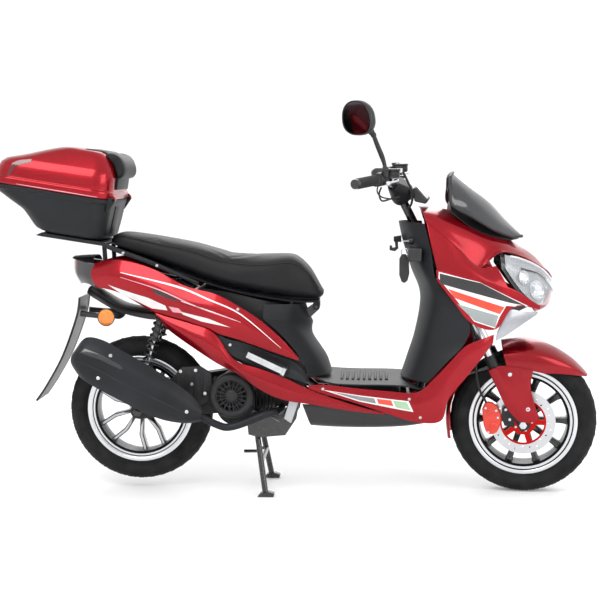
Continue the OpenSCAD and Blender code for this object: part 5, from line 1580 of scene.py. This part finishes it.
def makeMirror():
    mirror = {"wide": 73, "tall": 57}
    place = (turnMatrix @ Matrix.Translation(Vector((236, -296, 1286)) * milli)
             @ Matrix.Rotation(math.radians(46), 4, "Z") @ Matrix.Rotation(math.radians(-6), 4, "Y"))
    shape = [(-8, 0.9), (-12.2, 0.93), (-12.6, 0.965), (-10, 0.99), (-4, 1), (6, 0.965), (15, 0.88),
             (23, 0.74),
             (29, 0.54), (32.6, 0.3), (33.6, 0.12)]

    def oval(x, scale):
        ring = []
        for k in range(56):
            a = 2 * math.pi * k / 56
            c, s = math.cos(a), math.sin(a)
            taper = 1 - 0.1 * s
            ring.append(Vector((x, mirror["wide"] * scale * taper * math.copysign(abs(c) ** 0.84, c),
                                mirror["tall"] * scale * math.copysign(abs(s) ** 0.84, s))))
        return ring

    head = skinOver("mirror_shell", [oval(x, s) for x, s in shape])
    dress(moved(head, place), satinPlastic, "mirror_head", ["mirror_head"])
    glass = skinOver("mirror_glass", [oval(-10.6, 0.9), oval(-8.9, 0.905)])
    moved(glass, Matrix.Translation((-0.0006, 0, 0)))
    dress(moved(glass, place), mirrorGlass, "mirror_head")
    neck = tube("mirror_neck", [(276, -267, 1236), (268, -274, 1248), (256, -283, 1266)], [10, 12, 17], 20, 4)
    dress(moved(neck, turnMatrix), satinPlastic, "mirror_head")
    stem = tube("mirror_rod", [(314, -212, 1121), (310, -217, 1140), (304, -226, 1160), (292, -246, 1194),
                               (280, -264, 1230)], [6.5, 7, 8.5, 8, 7], 22, 6)
    collar = lathe("mirror_collar", [(0.3, 1113), (8.5, 1113), (10, 1115), (10, 1122), (8, 1125), (0.3, 1125)],
                   (314, -212, 0), 6, closed=False, axis="Z")
    ball = lathe("mirror_pivot", [(0.3 + 9.6 * math.sin(k * math.pi / 12), -9.7 * math.cos(k * math.pi / 12))
                                  for k in range(13)], (280, -264, 1230), 36, closed=False, axis="Z")
    whole = settle(joined("mirror_arm_parts", [stem, collar, ball]))
    dress(moved(whole, turnMatrix), satinPlastic, "mirror_arm", ["mirror_stem"])
    print("mirror made")


def makeCables():
    cable = {"hose": 4.0, "throttle": 3.0, "switch": 2.4}
    route = [(362, -186, 1112), (370, -172, 1104), (384, -140, 1070), (396, -102, 1028), (390, -60, 994),
             (378, -27, 970), (390, -33, 935), (412, -40, 895), (440, -50, 848), (486, -64, 790),
             (540, -84, 730),
             (578, -118, 650), (602, -116, 560), (612, -100, 470), (618, -92, 400), (632, -88, 352),
             (644, -76, 330), (650, -71, 316)]
    hose = moved(tube("brake_hose", route, cable["hose"], 14, 8), turnMatrix)
    hose.data.materials.append(gripRubber)
    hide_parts("control_cables")
    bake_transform(hose)
    loops = [tube("throttle_cable", [(300, -196, 1056), (292, -184, 1034), (300, -166, 1010),
                                     (330, -140, 1016),
                                     (352, -110, 1020)], cable["throttle"], 12, 8),
             tube("left_cable", [(340, 180, 1066), (344, 160, 1040), (352, 120, 1018), (356, 80, 1004),
                                 (352, 40, 992)], cable["throttle"], 12, 8),
             tube("switch_cable", [(290, -190, 1066), (284, -168, 1040), (298, -140, 1020), (330, -110, 1012),
                                   (350, -80, 1006)], cable["switch"], 10, 8)]
    banjo = lathe("hose_banjo", [(0.3, -6), (7, -6), (7, 6), (0.3, 6)], (362, -186, 1112), 24, closed=False,
                  axis="Z")
    whole = settle(joined("bar_cables", loops))
    dress(moved(whole, turnMatrix), gripRubber, "steering")
    dress(moved(banjo, turnMatrix), brightSteel, "steering")
    print("cables made")


makeGrips()
makeControls()
makeMirror()
makeCables()


# The CAD parts that are shown as they are.

discFinish = makeDialled("discFinish", tuple(middle("front_disc")), [
    (0.0, (0.5, 0.51, 0.53)), (0.018, (0.42, 0.012, 0.01)), (0.078, (0.56, 0.57, 0.59))])
nodeFinishes = [
    (blackEnamel, "frame_tubes steering_stem handlebar shock_bodies centre_stand front_rim "
                  "shock_springs"),
    (brightSteel, "head_bearings fork_tubes right_brake_lever left_brake_lever front_axle shock_rods "
                  "kick_lever ignition_key right_footpeg left_footpeg"),
    (satinPlastic, "helmet_bucket fuel_tank battery starter_button horn_button bag_hook rear_mudguard "
                   "instrument_panel brake_masters mirror_stem mirror_head"),
    (castBlack, "fork_legs crankcase cooling_fan fan_cover"),
    (discFinish, "front_disc"),
    (castAlloy, "transmission_cover"),
    (darkPlastic, "seat_base leg_shield floorboard seat_column luggage_rack box_base handlebar_cover"),
    (candyRed, "front_fairing floor_panels side_covers front_mudguard box_lid"),
    (smokedLens, "headlight"),
    (smokedScreen, "windscreen"),
    (amberLens, "indicators"),
    (darkRedLens, "tail_light"),
    (gripRubber, "left_grip control_cables throttle_grip"),
    (caliperRed, "front_caliper"),
    (treadRubber, "front_tyre rear_tyre"),
    (heatBlack, "exhaust"),
    (paintedSilver, "rear_rim"),
    (seatVinyl, "seat_cushion box_pad")]
for finish, nodes in nodeFinishes:
    for node in nodes.split():
        shown = frame["nodes"][node].data.materials
        shown.clear()
        shown.append(finish)
print("CAD parts painted")


# Floor, lights and camera.

def makeStudio():
    studio = {"worldLight": 1.0, "keyPower": 130.0, "fillPower": 60.0, "backPower": 60.0,
              "floorReach": 7.0, "floorBend": 3.0,
              "lens": 87.36, "eye": (0.264, -5.004, 1.119), "target": (0.004, 0.0, 0.656)}
    reach, bend = studio["floorReach"], studio["floorBend"]
    ring = [(reach, 0.0)] + [(reach + bend * math.sin(a), bend - bend * math.cos(a))
                             for a in [math.radians(9 * k) for k in range(1, 11)]] + [(reach + bend, 9.0)]
    points, faces, turns = [(0, 0, 0)], [], 64
    for r, z in ring:
        points += [(r * math.cos(2 * math.pi * k / turns), r * math.sin(2 * math.pi * k / turns), z)
                   for k in range(turns)]
    for k in range(turns):
        after = (k + 1) % turns
        faces.append((0, 1 + k, 1 + after))
        for i in range(len(ring) - 1):
            here, there = 1 + i * turns, 1 + (i + 1) * turns
            faces.append((here + k, there + k, there + after, here + after))
    mesh = bpy.data.meshes.new("floor")
    mesh.from_pydata(points, [], faces)
    floor = settle(newObject("floor", mesh), 60)
    mesh = floor.data
    pale = makeFinish("paleFloor", (0.84, 0.84, 0.84), (0.87, 0.87, 0.87), (0.6, 0.7), 2.0,
                      Emission_Color=(1, 1, 1, 1), Emission_Strength=0.14)
    mesh.materials.append(pale)
    world = bpy.data.worlds.new("studio")
    world.use_nodes = True
    sky = world.node_tree.nodes["Background"]
    sky.inputs["Color"].default_value = (1, 1, 1, 1)
    sky.inputs["Strength"].default_value = studio["worldLight"]
    bpy.context.scene.world = world
    lamps = [("key", (-1.5, -3.2, 4.2), studio["keyPower"], 3.0), ("fill", (3.4, -2.4, 2.2),
             studio["fillPower"], 2.5), ("back", (0.4, 3.6, 3.0), studio["backPower"], 3.0)]
    for name, spot, power, size in lamps:
        light = bpy.data.lights.new(name, "AREA")
        light.energy = power
        light.size = size
        lamp = bpy.data.objects.new(name, light)
        lamp.location = spot
        lamp.rotation_euler = (Vector((0, 0, 0.6)) - Vector(spot)).to_track_quat("-Z", "Y").to_euler()
        bpy.context.scene.collection.objects.link(lamp)
    lens = bpy.data.cameras.new("camera")
    lens.lens = studio["lens"]
    lens.sensor_width = 36
    camera = bpy.data.objects.new("camera", lens)
    camera.location = studio["eye"]
    aim = Vector(studio["target"]) - Vector(studio["eye"])
    camera.rotation_euler = aim.to_track_quat("-Z", "Y").to_euler()
    bpy.context.scene.collection.objects.link(camera)
    bpy.context.scene.camera = camera
    bpy.context.scene.view_settings.view_transform = "Standard"


makeStudio()
print("studio ready")
